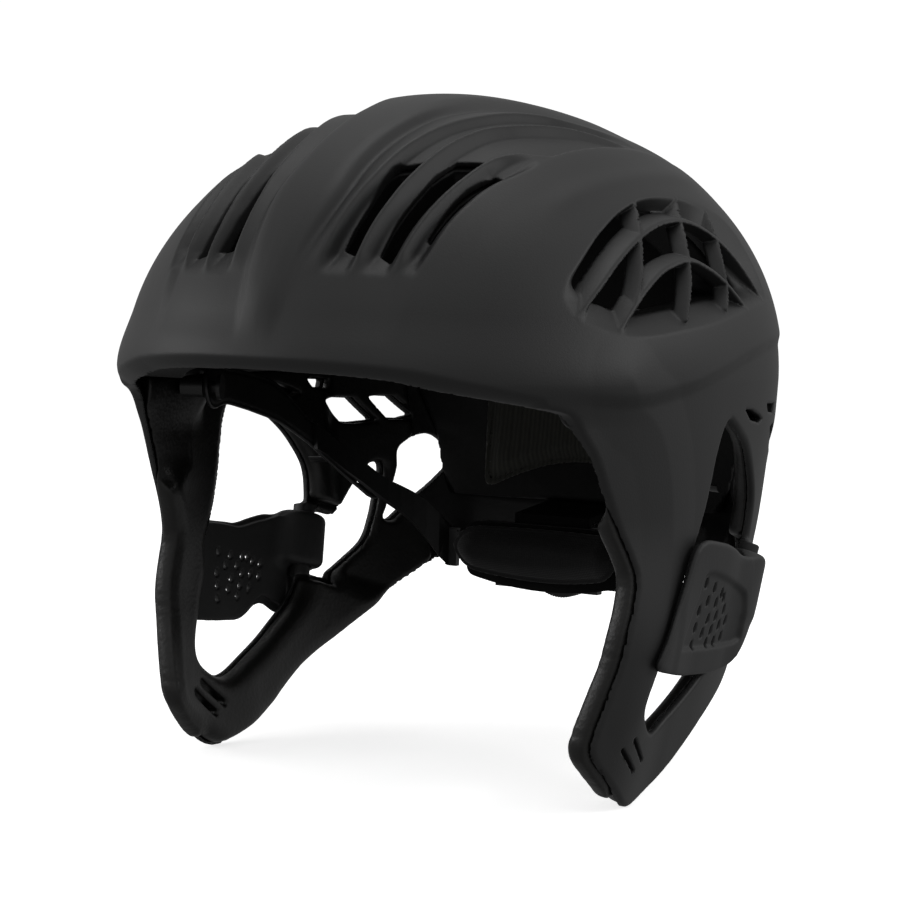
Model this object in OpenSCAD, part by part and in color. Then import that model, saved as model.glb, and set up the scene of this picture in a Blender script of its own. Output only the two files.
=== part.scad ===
// Surf helmet: hard shell with side frames, foam lining, dial fit system and ear covers.
// Worn orientation: +Z up, the wearer looks along -Y, +X is the wearer's left.
// All sub-parts are modelled about the dome centre, then moved so the origin is the seat of the head inside the crown.

/* [Envelope] */
// Half width of the dome at the brim line, mm
half_width = 104.8; // [98:0.1:112]
// Dome length forward of its centre, mm
front_len = 132.4; // [120:0.1:140]
// Dome length behind its centre, mm
rear_len = 130.5; // [120:0.1:140]
// Dome height above the brim line, mm
crown = 95.2; // [88:0.1:102]
// How far the brim flares out over the dome, mm
brim_flare = 3.5; // [0:0.5:8]
// Hard shell wall, mm
shell_t = 3; // [2:0.1:4]
// Dome foam lining thickness, mm
liner_t = 19; // [12:0.5:24]
// Side frame foam thickness, mm
arm_foam_t = 8; // [6:0.5:14]
// Comfort pad thickness, mm
pad_t = 5.5; // [3:0.5:8]

/* [Fit system] */
// Travel of each fit wing, mm
wing_travel = 8; // [4:0.5:12]
// Pitch radius of the dial pinion, mm
pinion_r = 5; // [4:0.5:6]
// Dial radius over the grip ribs, mm
dial_r = 15; // [12:0.5:16]
// Height of the dial axis above the dome centre plane (negative is below), mm
dial_z = -75; // [-80:1:-70]

/* [Ear cover] */
// Radius of the round bar of the rear strut that the cover turns on, mm
strut_r = 4; // [3:0.1:5]
// Radial clearance of the cover's sleeve, mm
sleeve_gap = 0.4; // [0.3:0.05:0.6]
// Wall of the cover, mm
cover_t = 3; // [2:0.1:4]

/* [Quality] */
// Facets of small round features
fn_small = 28; // [16:4:48]

/* [Hidden] */
YC = -2.9;
LIFT = -66;
YOFF = 2.9;
NF = 2.15; NR = 2.35; MF = 1.92; MR = 2.08;
KA = 0.0008; KB = 0.029;
li = shell_t + 0.5;
lo = li + liner_t;
ai = shell_t + 0.4;
ao = ai + arm_foam_t;
NPH = 56;

function sm(t) = let(c = max(0, min(1, t))) c * c * (3 - 2 * c);
function ex(y) = 1 / (1 + exp(-y / 15));
function ovr(phi, a, b, n) = pow(pow(abs(sin(phi)) / a, n) + pow(abs(cos(phi)) / b, n), -1 / n);
// plan radius of the dome surface moved inwards by o, at plan angle phi (0 = front) and height z
function rad(phi, z, o) =
    let(t = max(0, -z), cr = crown - o,
        zc = min(0.999999, max(0, z) / cr),
        k2 = sqrt(1 - zc * zc),
        a0 = half_width - KB * t - KA * t * t,
        b0 = cos(phi) >= 0 ? front_len - 0.10 * t : rear_len - 0.05 * t - 0.0012 * t * t,
        y0 = -ovr(phi, a0 - o, b0 - o, 2.25) * k2 * cos(phi),
        fl = brim_flare * sm((28 - z) / 26) * sm((z + 14) / 14) * sm((-y0 - 40) / 45),
        oe = o - fl,
        n = NF + (NR - NF) * ex(y0), m = MF + (MR - MF) * ex(y0))
    ovr(phi, a0 - oe, b0 - oe, n) * pow(1 - pow(zc, m), 1 / m);
function pt(phi, z, o) = let(r = rad(phi, z, o)) [r * sin(phi), YC - r * cos(phi), z];

module place() translate([0, YOFF, LIFT]) children();
module side(s) if (s > 0) children(); else mirror([1, 0, 0]) children();

// closed dome body whose surface is moved inwards by o; zb is its flat bottom
module body(o, zb, nl = 11, nd = 11, np = NPH) {
    cr = crown - o;
    zs = [for (i = [0 : nl - 1]) zb + (0 - zb) * i / nl, for (j = [0 : nd - 1]) cr * sin(90 * j / nd)];
    L = len(zs);
    pts = [for (z = zs) for (i = [0 : np - 1]) pt(360 * i / np, z, o), [0, YC, cr], [0, YC, zb]];
    top = L * np; bot = top + 1;
    faces = [
        for (l = [0 : L - 2]) for (i = [0 : np - 1]) let(j = (i + 1) % np)
            [l * np + i, (l + 1) * np + i, (l + 1) * np + j, l * np + j],
        for (i = [0 : np - 1]) let(j = (i + 1) % np) [(L - 1) * np + i, top, (L - 1) * np + j],
        for (i = [0 : np - 1]) let(j = (i + 1) % np) [i, j, bot]
    ];
    polyhedron(pts, faces, convexity = 6);
}

// patch of the wall between depths o1 (outer) and o2 (inner), plan angles p1..p2,
// heights between the straight lines zl(p) and zh(p)
module patch(p1, p2, zl1, zl2, zh1, zh2, o1, o2, n = 14, m = 4) {
    w = n + 1; q = (n + 1) * (m + 1);
    g = [for (o = [o1, o2]) for (j = [0 : m]) for (i = [0 : n])
        let(f = i / n, p = p1 + (p2 - p1) * f,
            a = zl1 + (zl2 - zl1) * f, b = zh1 + (zh2 - zh1) * f)
        pt(p, a + (b - a) * j / m, o)];
    faces = [
        for (j = [0 : m - 1]) for (i = [0 : n - 1]) [j * w + i, (j + 1) * w + i, (j + 1) * w + i + 1, j * w + i + 1],
        for (j = [0 : m - 1]) for (i = [0 : n - 1]) [q + j * w + i, q + j * w + i + 1, q + (j + 1) * w + i + 1, q + (j + 1) * w + i],
        for (i = [0 : n - 1]) [i, i + 1, q + i + 1, q + i],
        for (i = [0 : n - 1]) [m * w + i, q + m * w + i, q + m * w + i + 1, m * w + i + 1],
        for (j = [0 : m - 1]) [j * w, q + j * w, q + (j + 1) * w, (j + 1) * w],
        for (j = [0 : m - 1]) [j * w + n, (j + 1) * w + n, q + (j + 1) * w + n, q + j * w + n]
    ];
    polyhedron(g, faces, convexity = 4);
}

// prism along X of an outline in Y and Z
module prism_x(h = 260) translate([-h / 2, 0, 0]) rotate([90, 0, 90]) linear_extrude(height = h) children();

// ---- outlines in the side view (Y, Z) ----
module keep_side() polygon([[-160, 6.5], [-134, 6], [-124, 3], [-116, 0], [-105, -3], [-94, -6], [-84, -8.5],
    [-78, -17], [-73, -24], [-68, -31], [-64, -38], [-59, -46], [-55, -54], [-51.5, -64], [-54, -76], [-56.5, -88],
    [-58.5, -100], [-59, -110], [-57.5, -120], [-51, -127.5], [-39, -136.5], [-34, -139.8], [-30.5, -140], [-24, -136.5],
    [-13, -131], [-1, -125], [11, -119], [24, -115.5], [42, -109], [58, -101.5], [72, -93], [82, -86],
    [90, -80.5], [97, -78], [104, -78.5], [110, -80], [118, -80.5], [150, -80.5], [150, 130], [-160, 130]]);
module win1() polygon([[0, -11], [4, -11.5], [10, -15], [19, -20.5], [26, -26], [31, -33], [34, -42], [35, -52], [34.5, -60],
    [31, -74], [27, -88], [24, -94.5], [14, -99.5], [3, -104.5], [-8, -110.5], [-18, -116.5], [-24, -118.5],
    [-30, -116], [-35, -110], [-36.5, -103], [-34, -95], [-29, -83], [-22, -66], [-16, -53], [-12.5, -42], [-10, -32], [-8, -24], [-4.5, -16]]);
module win2() polygon([[60, -51], [67, -54.5], [66.5, -60], [64, -67], [59, -74], [52, -79.5], [42, -84.5], [38, -83.5],
    [39.5, -76], [45, -64], [52, -53], [56, -50.5]]);
module win3() polygon([[77, -34], [84, -31], [91, -30], [96, -33.5], [98, -39], [96, -46], [90, -53.5], [81, -59],
    [76, -58], [72.5, -54], [73, -46]]);
module lattice() {
    polygon([[10, -11.5], [13, -9], [20, -9.5], [26, -12.5], [23, -14], [16, -13.5]]);
    polygon([[33, -5.5], [44, -5.5], [46, -8.5], [40, -12], [37, -11]]);
    polygon([[46, -17.5], [49, -15], [57, -15.5], [66, -23.5], [64.5, -25.5], [56, -25], [52, -22.5]]);
    polygon([[70, -17], [73, -14.5], [77, -15], [84, -21], [82, -23.5], [77, -24]]);
    polygon([[63, -42.5], [68, -38.5], [69.5, -46], [66.5, -47.5]]);
    polygon([[70.5, -60.5], [74, -61.5], [70, -66.5]]);
}
module grille() difference() {
    polygon([[-76, 30], [-70, 37], [-57, 46], [-41, 54.5], [-24, 58.5], [-7, 58.5], [7, 56], [12, 49], [20, 41], [26, 32],
        [20, 28.5], [-2, 26.5], [-30, 24], [-51, 22], [-65, 21.5], [-73, 24]]);
    grille_ribs();
}
module bar2(a, b, w) hull() { translate(a) circle(d = w, $fn = 8); translate(b) circle(d = w, $fn = 8); }
module grille_ribs() {
    bar2([-60, 20], [-38, 46], 3.4); bar2([-38, 46], [-16, 50], 3.4); bar2([-16, 50], [14, 24], 3.4);
    for (k = [[-50, 50, -34, 20], [-24, 62, -6, 24], [-6, 62, 8, 24]]) polygon([[k[0] - 1.7, k[1]], [k[0] + 1.7, k[1]], [k[2] + 1.7, k[3]], [k[2] - 1.7, k[3]]]);
}
// front vents, one side, in plan (X, Y)
module slots(g = 0) offset(delta = g) {
    polygon([[20, -117], [26, -117], [26, -100], [28, -84], [22, -82], [19.5, -99]]);
    polygon([[31.5, -113], [38.5, -113], [39.5, -98], [43, -74], [35.5, -72], [32, -95]]);
    polygon([[44, -107], [46.8, -106], [49.8, -84], [52, -71], [48.5, -70], [45.5, -88]]);
}
module ridge_plan() polygon([[-8, -150], [8, -150], [12, -112], [16, -74], [18, -30], [18, 30], [14, 84], [9, 140], [-9, 140], [-14, 84],
    [-18, 30], [-18, -30], [-16, -74], [-12, -112]]);

// strut axis: the round bar of the rear strut, near side
SA = [90.0, 32.6, -86.0];
SD = [0.1296, 0.2808, 0.9510];
function sp(t) = SA + SD * t;
module along(t0, t1) translate(sp(t0)) rotate([0, 18.01, 65.22]) rotate([0, 0, -65.22]) linear_extrude(height = t1 - t0) children();

// ---- 1 hard shell ----
module outer_shell() color([0.19, 0.20, 0.205]) place() {
    difference() {
        union() {
            body(0, -150);
            intersection() { body(-1.6, -20, 3, 11); translate([0, 0, 14]) linear_extrude(height = 100) ridge_plan(); }
        }
        body(shell_t, -160);
        difference() {
            translate([-200, -250, -160]) cube([400, 500, 270]);
            prism_x(420) keep_side();
        }
        prism_x() { win1(); win2(); win3(); lattice(); grille(); }
        for (s = [1, -1]) side(s) {
            translate([0, 0, 25]) linear_extrude(height = 90) slots();
            // flat strut cut back to the round bar inside the sleeve
            along(3.2, 27.6) square([21, 21], center = true);
            // strap slots
            for (k = [[-37.5, -124], [-32.5, -121]]) translate([70, k[0], k[1]]) rotate([-38, 0, 0])
                translate([0, -8, -1.5]) cube([40, 16, 3]);
        }
        // thumb arch for the dial
        translate([0, 60, -100]) rotate([-90, 0, 0]) cylinder(r = 34, h = 80, $fn = 40);
    }
    for (s = [1, -1]) side(s) along(1.5, 29.2) circle(r = strut_r, $fn = fn_small);
}

// ---- 2 dome foam lining ----
module dome_liner() color([0.10, 0.10, 0.10]) place() difference() {
    body(li, -56, 4, 9);
    body(lo, -70, 4, 9);
    difference() {
        translate([-200, -250, -120]) cube([400, 500, 230]);
        prism_x(420) polygon([[-150, 8.5], [-122, 8.5], [-104, 0], [-88, -4], [89, -4], [95, -30], [95, -54], [150, -54], [150, 130], [-150, 130]]);
    }
    for (s = [1, -1]) side(s) translate([0, 0, 20]) linear_extrude(height = 90) slots(0.8);
}

// ---- 3, 4 side frame foam ----
module arm_liner(s) color([0.115, 0.11, 0.105]) place() side(s) difference() {
    intersection() { body(ai, -139, 10, 2); translate([0, -120, -139]) cube([140, 240, 134.5]); }
    body(ao, -150, 10, 2);
    difference() {
        translate([-10, -250, -160]) cube([200, 500, 200]);
        prism_x(420) offset(delta = -1) keep_side();
    }
    // the foam stops short of the front edge of the side frame
    prism_x() polygon([[-150, 10], [-67, 10], [-67, -9], [-56, -24], [-48.5, -38], [-45, -54], [-45.5, -64], [-48.5, -76], [-51, -88],
        [-53, -100], [-53.5, -110], [-52, -120], [-46, -126], [-36, -134.5], [-31, -137.5], [-31, -150], [-150, -150]]);
    translate([0, 88.4, -160]) cube([200, 100, 200]);
    prism_x() offset(delta = 0.6) { win1(); win2(); win3(); }
    prism_x() offset(delta = 0.8) lattice();
    along(-0.5, 31.5) square([30, 30], center = true);
    for (k = [[-37.5, -124], [-32.5, -121]]) translate([60, k[0], k[1]]) rotate([-38, 0, 0])
        translate([0, -8.5, -1.9]) cube([50, 17, 3.8]);
}
module arm_liner_left() arm_liner(1);
module arm_liner_right() arm_liner(-1);

// ---- comfort pads ----
module brow_pad() color([0.07, 0.07, 0.075]) place() patch(-40, 40, 14, 14, 32, 32, lo + 0.7, lo + pad_t, 16, 3);
module temple_pad(s) color([0.07, 0.07, 0.075]) place() side(s) patch(58, 112, 4, 4, 30, 30, lo + 0.7, lo + pad_t, 10, 3);
module temple_pad_left() temple_pad(1);
module temple_pad_right() temple_pad(-1);
module rear_pad() color([0.09, 0.09, 0.095]) place() union() {
    patch(156, 180.01, -50, -34, 4, 4, lo + 0.7, lo + pad_t - 1, 6, 4);
    patch(179.99, 204, -34, -50, 4, 4, lo + 0.7, lo + pad_t - 1, 6, 4);
}
module crown_pad() color([0.07, 0.07, 0.075]) place() intersection() {
    difference() { body(lo + 0.7, 30, 2, 9, 40); body(lo + pad_t, 20, 2, 9, 40); }
    translate([0, 8, 20]) linear_extrude(height = 80) offset(r = 10, $fn = 24) square([40, 66], center = true);
}

// ---- fit system ----
SO1 = lo + 1.2;
function strap_z(p) = -8 - 46 * sm((p - 62) / 92);
// strip following the wall: plan angles p1..p2, depth o1..o2, half height h, centre height strap_z
module strip(p1, p2, o1, o2, h, n = 18) {
    q = 4;
    g = [for (i = [0 : n]) let(p = p1 + (p2 - p1) * i / n, z = strap_z(p)) for (c = [[o1, -h], [o1, h], [o2, h], [o2, -h]]) pt(p, z + c[1], c[0])];
    faces = [[3, 2, 1, 0], for (i = [0 : n - 1]) for (k = [0 : 3]) let(l = (k + 1) % 4)
        [i * q + l, (i + 1) * q + l, (i + 1) * q + k, i * q + k], [n * q, n * q + 1, n * q + 2, n * q + 3]];
    polyhedron(g, faces, convexity = 4);
}
PEG = [66, 58];
// fixed side strap with the slot that guides the wing's peg
module side_strap(s) color([0.13, 0.13, 0.135]) place() side(s) difference() {
    union() {
        strip(52, 126, SO1, SO1 + 1.8, 7.5);
        translate([pt(54, -8, SO1)[0] - 1.6, pt(54, -8, SO1)[1], -8]) rotate([0, 90, -22]) cylinder(r = 8, h = 1.2, $fn = fn_small);
    }
    // slot along the strap
    translate([0, pt(114, 0, SO1)[1], strap_z(114)]) rotate([-29, 0, 0]) hull() for (k = [-8, 8]) translate([40, k, 0]) rotate([0, 90, 0]) cylinder(r = 2.4, h = 60, $fn = 20);
    // rivet hole
    translate([pt(54, -8, SO1)[0], pt(54, -8, SO1)[1], -8]) rotate([0, 90, -22]) translate([0, 0, -8]) cylinder(r = 2.2, h = 18, $fn = 20);
}
module side_strap_left() side_strap(1);
module side_strap_right() side_strap(-1);
module strap_rivets() color([0.09, 0.09, 0.09]) place() for (s = [1, -1]) side(s)
    translate([pt(54, -8, SO1)[0], pt(54, -8, SO1)[1], -8]) rotate([0, 90, -22]) {
        translate([0, 0, -5.4]) cylinder(r = 4.5, h = 1.4, $fn = fn_small);
        translate([0, 0, -4.2]) cylinder(r = 2.1, h = 5.2, $fn = 20);
        translate([0, 0, 0.9]) cylinder(r = 4, h = 8.0, $fn = fn_small);
    }

RY = 70; // mid depth of the racks behind the dome centre
module rack_teeth(up, n, x0) {
    pitch = PI;
    for (i = [0 : n - 1]) translate([x0 + i * pitch, 0, 0])
        polygon(up ? [[-0.85, -0.2], [0.85, -0.2], [0.4, 1.6], [-0.4, 1.6]] : [[-0.85, 0.2], [-0.4, -1.6], [0.4, -1.6], [0.85, 0.2]]);
}
// moving wing: straight rack at the nape, then a curved wing up the side with the guide peg
module fit_wing(s, zr, up) color([0.13, 0.13, 0.135]) place() {
    // rack
    translate([0, RY + 1.3, 0]) rotate([90, 0, 0]) linear_extrude(height = 2.6) {
        translate([s > 0 ? -16 : -44, zr - 1.2]) square([60, 2.4]);
        translate([0, up ? zr + 1.2 : zr - 1.2]) rack_teeth(up, 9, -4 * PI);
    }
    // wing
    side(s) union() {
            translate([40, RY - 1.3, dial_z + (up ? -9 : -5)]) cube([5, 2.6, up ? 19 : 15]);
            wing_curve(up ? -9 : -5);
            // guide peg
            translate([pt(114, 0, SO1)[0] - 5.2, pt(114, 0, SO1)[1], strap_z(114)]) rotate([0, 90, 0]) cylinder(r = 1.9, h = 12, $fn = 20);
    }
}
module wing_curve(low) {
    n = 12; q = 4; o1 = SO1 + 2.6; o2 = SO1 + 4.6;
    g = [for (i = [0 : n]) let(f = i / n, p = 106 + 43.5 * f, z = -30 - 44 * pow(f, 1.7), h = 8 + f, d = 8.6 * f * f)
        for (c = [[o1, -h], [o1, h], [o2, h], [o2, -h]]) i < n ? pt(p, z + c[1], c[0] + d) :
            [43.5, c[0] == o1 ? RY + 1.3 : RY - 1.3, dial_z + (c[1] > 0 ? 10 : low)]];
    faces = [[3, 2, 1, 0], for (i = [0 : n - 1]) for (k = [0 : 3]) let(l = (k + 1) % 4)
        [i * q + l, (i + 1) * q + l, (i + 1) * q + k, i * q + k], [n * q, n * q + 1, n * q + 2, n * q + 3]];
    polyhedron(g, faces, convexity = 4);
}
module fit_wing_left() fit_wing(1, dial_z - pinion_r - 2.6, true);
module fit_wing_right() fit_wing(-1, dial_z + pinion_r + 2.6, false);

// nape plate outline in X and Z: flat top, lower edge that dips at the middle
module nape_plate(w, top, low) offset(r = 4, $fn = 20) offset(delta = -4)
    polygon([[-w, top], each [for (i = [0 : 12]) let(x = -w + w * i / 6) [x, low + 7.5 * pow(x / 44, 2)]], [w, top]]);
module rrect(w, h, r) offset(r = r, $fn = 24) square([w - 2 * r, h - 2 * r], center = true);
// cradle body: rear plate with rails that hold the racks, and the bore the pinion turns in
module cradle_body() color([0.12, 0.12, 0.125]) place() difference() {
    union() {
        translate([0, RY + 4.1, 0]) rotate([90, 0, 0]) linear_extrude(height = 2.4) nape_plate(34, -61.3, -86.4);
        for (z = [9.3, -10.9]) translate([-22, RY - 1.6, dial_z + z]) cube([44, 4, 1.6]);
        translate([0, RY + 6.3, dial_z]) rotate([90, 0, 0]) cylinder(r = 6.2, h = 3, $fn = fn_small);
    }
    translate([0, RY + 12, dial_z]) rotate([90, 0, 0]) cylinder(r = 3.05, h = 20, $fn = 40);
    for (s = [1, -1]) translate([s * 30, RY + 12, dial_z + 10.6]) rotate([90, 0, 0]) cylinder(r = 1.3, h = 30, $fn = 16);
}
module cradle_cover() color([0.12, 0.12, 0.125]) place() difference() {
    translate([0, RY - 1.7, 0]) rotate([90, 0, 0]) linear_extrude(height = 1.8) nape_plate(34, -61.3, -86.4);
    for (s = [1, -1]) translate([s * 30, RY + 12, dial_z + 10.6]) rotate([90, 0, 0]) cylinder(r = 1.3, h = 30, $fn = 16);
}
module cradle_screws() color([0.35, 0.35, 0.36]) place() for (s = [1, -1]) translate([s * 30, 0, dial_z + 10.6]) {
    translate([0, RY + 5.5, 0]) rotate([90, 0, 0]) cylinder(r = 2.4, h = 1.4, $fn = 20);
    translate([0, RY + 4.2, 0]) rotate([90, 0, 0]) cylinder(r = 1.3, h = 7.2, $fn = 16);
}
module dial_pinion() color([0.16, 0.16, 0.16]) place() translate([0, 0, dial_z]) rotate([90, 0, 0]) {
    translate([0, 0, -RY - 1.3]) linear_extrude(height = 2.6) difference() {
        union() {
            circle(r = pinion_r - 1.3, $fn = 30);
            for (i = [0 : 9]) rotate(i * 36 + 18) polygon([[-0.85, 3], [0.85, 3], [0.8, pinion_r - 0.3], [0.35, pinion_r + 0.9], [-0.35, pinion_r + 0.9], [-0.8, pinion_r - 0.3]]);
        }
        circle(r = 1.25, $fn = 16);
    }
    translate([0, 0, -RY - 9.5]) linear_extrude(height = 8.3) difference() { circle(r = 3, $fn = 40); circle(r = 1.25, $fn = 16); }
}
module fit_dial() color([0.10, 0.10, 0.10]) place() translate([0, 0, dial_z]) rotate([90, 0, 0]) difference() {
    union() {
        translate([0, 0, -RY - 17]) linear_extrude(height = 8.2) union() {
            circle(r = dial_r - 1, $fn = 48);
            for (i = [0 : 23]) rotate(i * 15) translate([dial_r - 1.1, 0]) circle(r = 1.1, $fn = 10);
        }
        translate([0, 0, -RY - 18]) cylinder(r1 = dial_r - 3, r2 = dial_r - 2, h = 1.05, $fn = 48);
    }
    translate([0, 0, -RY - 9.6]) cylinder(r = 3, h = 5, $fn = 40);
    translate([0, 0, -RY - 30]) cylinder(r = 1.6, h = 40, $fn = 16);
    translate([0, 0, -RY - 18.2]) cylinder(r = 3.2, h = 2.4, $fn = 24);
    // ring space for the detent spring
    translate([0, 0, -RY - 10.4]) difference() { cylinder(r = 10.4, h = 3, $fn = 40); translate([0, 0, -1]) cylinder(r = 6.8, h = 5, $fn = 40); }
}
module dial_screw() color([0.4, 0.4, 0.41]) place() translate([0, 0, dial_z]) rotate([90, 0, 0]) {
    translate([0, 0, -RY - 17.9]) cylinder(r = 2.9, h = 2.0, $fn = 24);
    translate([0, 0, -RY - 16.2]) cylinder(r = 1.25, h = 15.5, $fn = 16);
}
// springy detent ring fixed to the cradle body
module detent_spring() color([0.5, 0.5, 0.52]) place() translate([0, 0, dial_z]) rotate([90, 0, 0])
    translate([0, 0, -RY - 9.6]) linear_extrude(height = 5.4) difference() {
        union() { circle(r = 9.2, $fn = 40); for (i = [0 : 3]) rotate(i * 90) translate([9.0, 0]) circle(r = 0.9, $fn = 12); }
        circle(r = 8.2, $fn = 40);
    }
// bracket that hangs the cradle from the lower face of the dome lining
module cradle_hanger() color([0.12, 0.12, 0.125]) place() prism_x(32)
    polygon([[RY + 1.7, -61.2], [RY + 4.1, -61.2], [RY + 4.1, -59.6], [99, -56.8], [111, -56.8], [111, -54.4], [99, -54.4], [RY + 1.7, -57.4]]);
module nape_pad() color([0.07, 0.07, 0.075]) place() translate([0, RY - 3.9 - 90, 0]) intersection() {
    translate([0, 0, -100]) difference() { cylinder(r = 90, h = 60, $fn = 90); translate([0, 0, -1]) cylinder(r = 84, h = 70, $fn = 90); }
    translate([0, 84, 0]) rotate([90, 0, 0]) linear_extrude(height = 60, center = true) nape_plate(34, -62.5, -82.5);
}

// ---- ear covers ----
module cover_plate() intersection() {
    difference() { body(-1.6, -125, 8, 2); body(cover_t - 1.6, -140, 8, 2); }
    prism_x(260) offset(delta = -0.5) polygon([[-16, -53], [-4, -54], [8, -58], [21, -63], [21, -92], [6, -95.5], [-12, -96.5], [-26, -94.5], [-32.6, -91.5], [-29, -83], [-22, -66]]);
    translate([40, -60, -130]) cube([100, 140, 120]);
}
module ear_cover(s) color([0.17, 0.175, 0.18]) place() side(s) difference() {
    union() {
        cover_plate();
        // sleeve round the strut and the web that joins it to the plate
        along(5.5, 25.5) circle(r = strut_r + sleeve_gap + 2.4, $fn = 36);
        along(5.5, 25.5) polygon([[0, -6.6], [6.8, -2], [9.5, -14], [7, -19], [3.5, -17]]);
    }
    along(-20, 50) circle(r = strut_r + sleeve_gap, $fn = 36);
    // slanted listening slits
    for (r = [0 : 2]) for (k = [0 : 3]) translate([60, -14 + k * 7.5 - r * 2, -68 - r * 8]) rotate([28, 0, 0]) cube([60, 1.6, 5.2]);
}
module ear_cover_left() ear_cover(1);
module ear_cover_right() ear_cover(-1);

outer_shell();
dome_liner();
arm_liner_left();
arm_liner_right();
brow_pad();
crown_pad();
temple_pad_left();
temple_pad_right();
rear_pad();
side_strap_left();
side_strap_right();
strap_rivets();
fit_wing_left();
fit_wing_right();
cradle_body();
cradle_cover();
cradle_screws();
cradle_hanger();
nape_pad();
fit_dial();
dial_pinion();
dial_screw();
detent_spring();
ear_cover_left();
ear_cover_right();
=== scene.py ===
import math

import bpy
import numpy as np
from mathutils import Matrix, Vector


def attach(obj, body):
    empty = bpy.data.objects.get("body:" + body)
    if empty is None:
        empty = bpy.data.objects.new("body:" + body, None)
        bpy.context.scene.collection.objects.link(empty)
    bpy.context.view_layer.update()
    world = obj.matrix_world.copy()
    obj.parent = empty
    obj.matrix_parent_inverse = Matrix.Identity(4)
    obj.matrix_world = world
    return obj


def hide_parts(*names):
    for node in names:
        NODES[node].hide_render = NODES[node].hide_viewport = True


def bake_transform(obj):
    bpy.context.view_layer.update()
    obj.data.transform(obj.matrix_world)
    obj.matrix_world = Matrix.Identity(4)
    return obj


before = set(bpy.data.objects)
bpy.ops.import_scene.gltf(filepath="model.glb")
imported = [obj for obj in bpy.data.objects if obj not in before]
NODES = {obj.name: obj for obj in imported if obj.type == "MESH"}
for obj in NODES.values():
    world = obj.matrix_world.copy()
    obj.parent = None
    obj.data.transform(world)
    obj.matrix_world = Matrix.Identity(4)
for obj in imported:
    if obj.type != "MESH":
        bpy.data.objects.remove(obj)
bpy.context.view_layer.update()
H = 0.85

# ------------------------------------------------------------------ dome surface, in millimetres
# Work frame: x to the wearer's left, y backwards, z up, zero height at the lower crease of the dome.
YOFF, LIFT = 2.9, -66.0
A0, BF, BR, CR = 104.8, 132.4, 130.5, 95.2
NF, NR, MF, MR = 2.15, 2.35, 1.92, 2.08
KA, KB, YC = 0.0008, 0.029, -2.9


def sm(t):
    t = np.clip(t, 0, 1)
    return t * t * (3 - 2 * t)


def dome(P, off=0.0, plan=False):
    """Signed distance, negative inside, of the dome surface moved inwards by off. With plan, also the plan place of
    the point of that surface on the same ray from the centre."""
    x, y, z = np.abs(P[:, 0]), P[:, 1] - YC, P[:, 2]
    t = np.maximum(-z, 0)
    zp = np.maximum(z, 0)
    fl = 2.4 * sm((20 - z) / 20) * sm((z + 14) / 14) * sm((-y - 40) / 45)
    o = off - fl
    a = A0 - KB * t - KA * t * t - o + 7.0 * sm((t - 42) / 46) * sm((-8 - y) / 42) - 0.5 * sm((t - 70) / 40) * sm((y + 12) / 20)
    a = a - 1.3 * sm((t - 12) / 20) * sm((y - 5) / 30) * (1 - sm((t - 60) / 30))
    s = 1 / (1 + np.exp(-y / 15))
    b = np.where(y < 0, BF - 0.10 * t, BR - 0.078 * t - 0.0012 * t * t) - o
    ne = NF + (NR - NF) * s
    m = MF + (MR - MF) * s
    q = ((x / a) ** ne + (np.abs(y) / b) ** ne) ** (1 / ne)
    n = np.maximum((q**m + (zp / (CR - off)) ** m) ** (1 / m), 1e-6)
    d = np.sqrt(x * x + y * y + zp * zp) * (1 - 1 / n)
    return (d, x / n, y / n + YC) if plan else d


def pt(phi, z, off):
    """Point of the layer at depth off, at plan angle phi in degrees from the front and height z."""
    phi = np.radians(np.atleast_1d(np.asarray(phi, float)))
    z = np.broadcast_to(np.asarray(z, float), phi.shape)
    off = np.broadcast_to(np.asarray(off, float), phi.shape)
    lo, hi = np.full(phi.shape, 20.0), np.full(phi.shape, 150.0)
    for _ in range(40):
        r = (lo + hi) / 2
        P = np.stack([r * np.sin(phi), YC - r * np.cos(phi), z], -1)
        inside = dome(P, off) < 0
        lo, hi = np.where(inside, r, lo), np.where(inside, hi, r)
    r = (lo + hi) / 2
    return np.stack([r * np.sin(phi), YC - r * np.cos(phi), z], -1)


def smax(a, b, k):
    d = np.maximum(k - np.abs(a - b), 0) / k
    return np.maximum(a, b) + d * d * k * 0.25


def smin(a, b, k):
    return -smax(-a, -b, k)


# ------------------------------------------------------------------ flat fields
def cr(p, n=5, closed=True):
    """Catmull-Rom curve through the points."""
    p = np.asarray(p, float)
    m = len(p)
    k = m if closed else m - 1
    out = []
    for i in range(k):
        if closed:
            a, b, c, d = p[(i - 1) % m], p[i], p[(i + 1) % m], p[(i + 2) % m]
        else:
            a, b, c, d = p[max(i - 1, 0)], p[i], p[i + 1], p[min(i + 2, m - 1)]
        for j in range(n):
            t = j / n
            out.append(0.5 * (2 * b + (c - a) * t + (2 * a - 5 * b + 4 * c - d) * t * t + (3 * b - a - 3 * c + d) * t**3))
    if not closed:
        out.append(p[-1])
    return np.array(out)


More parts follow.
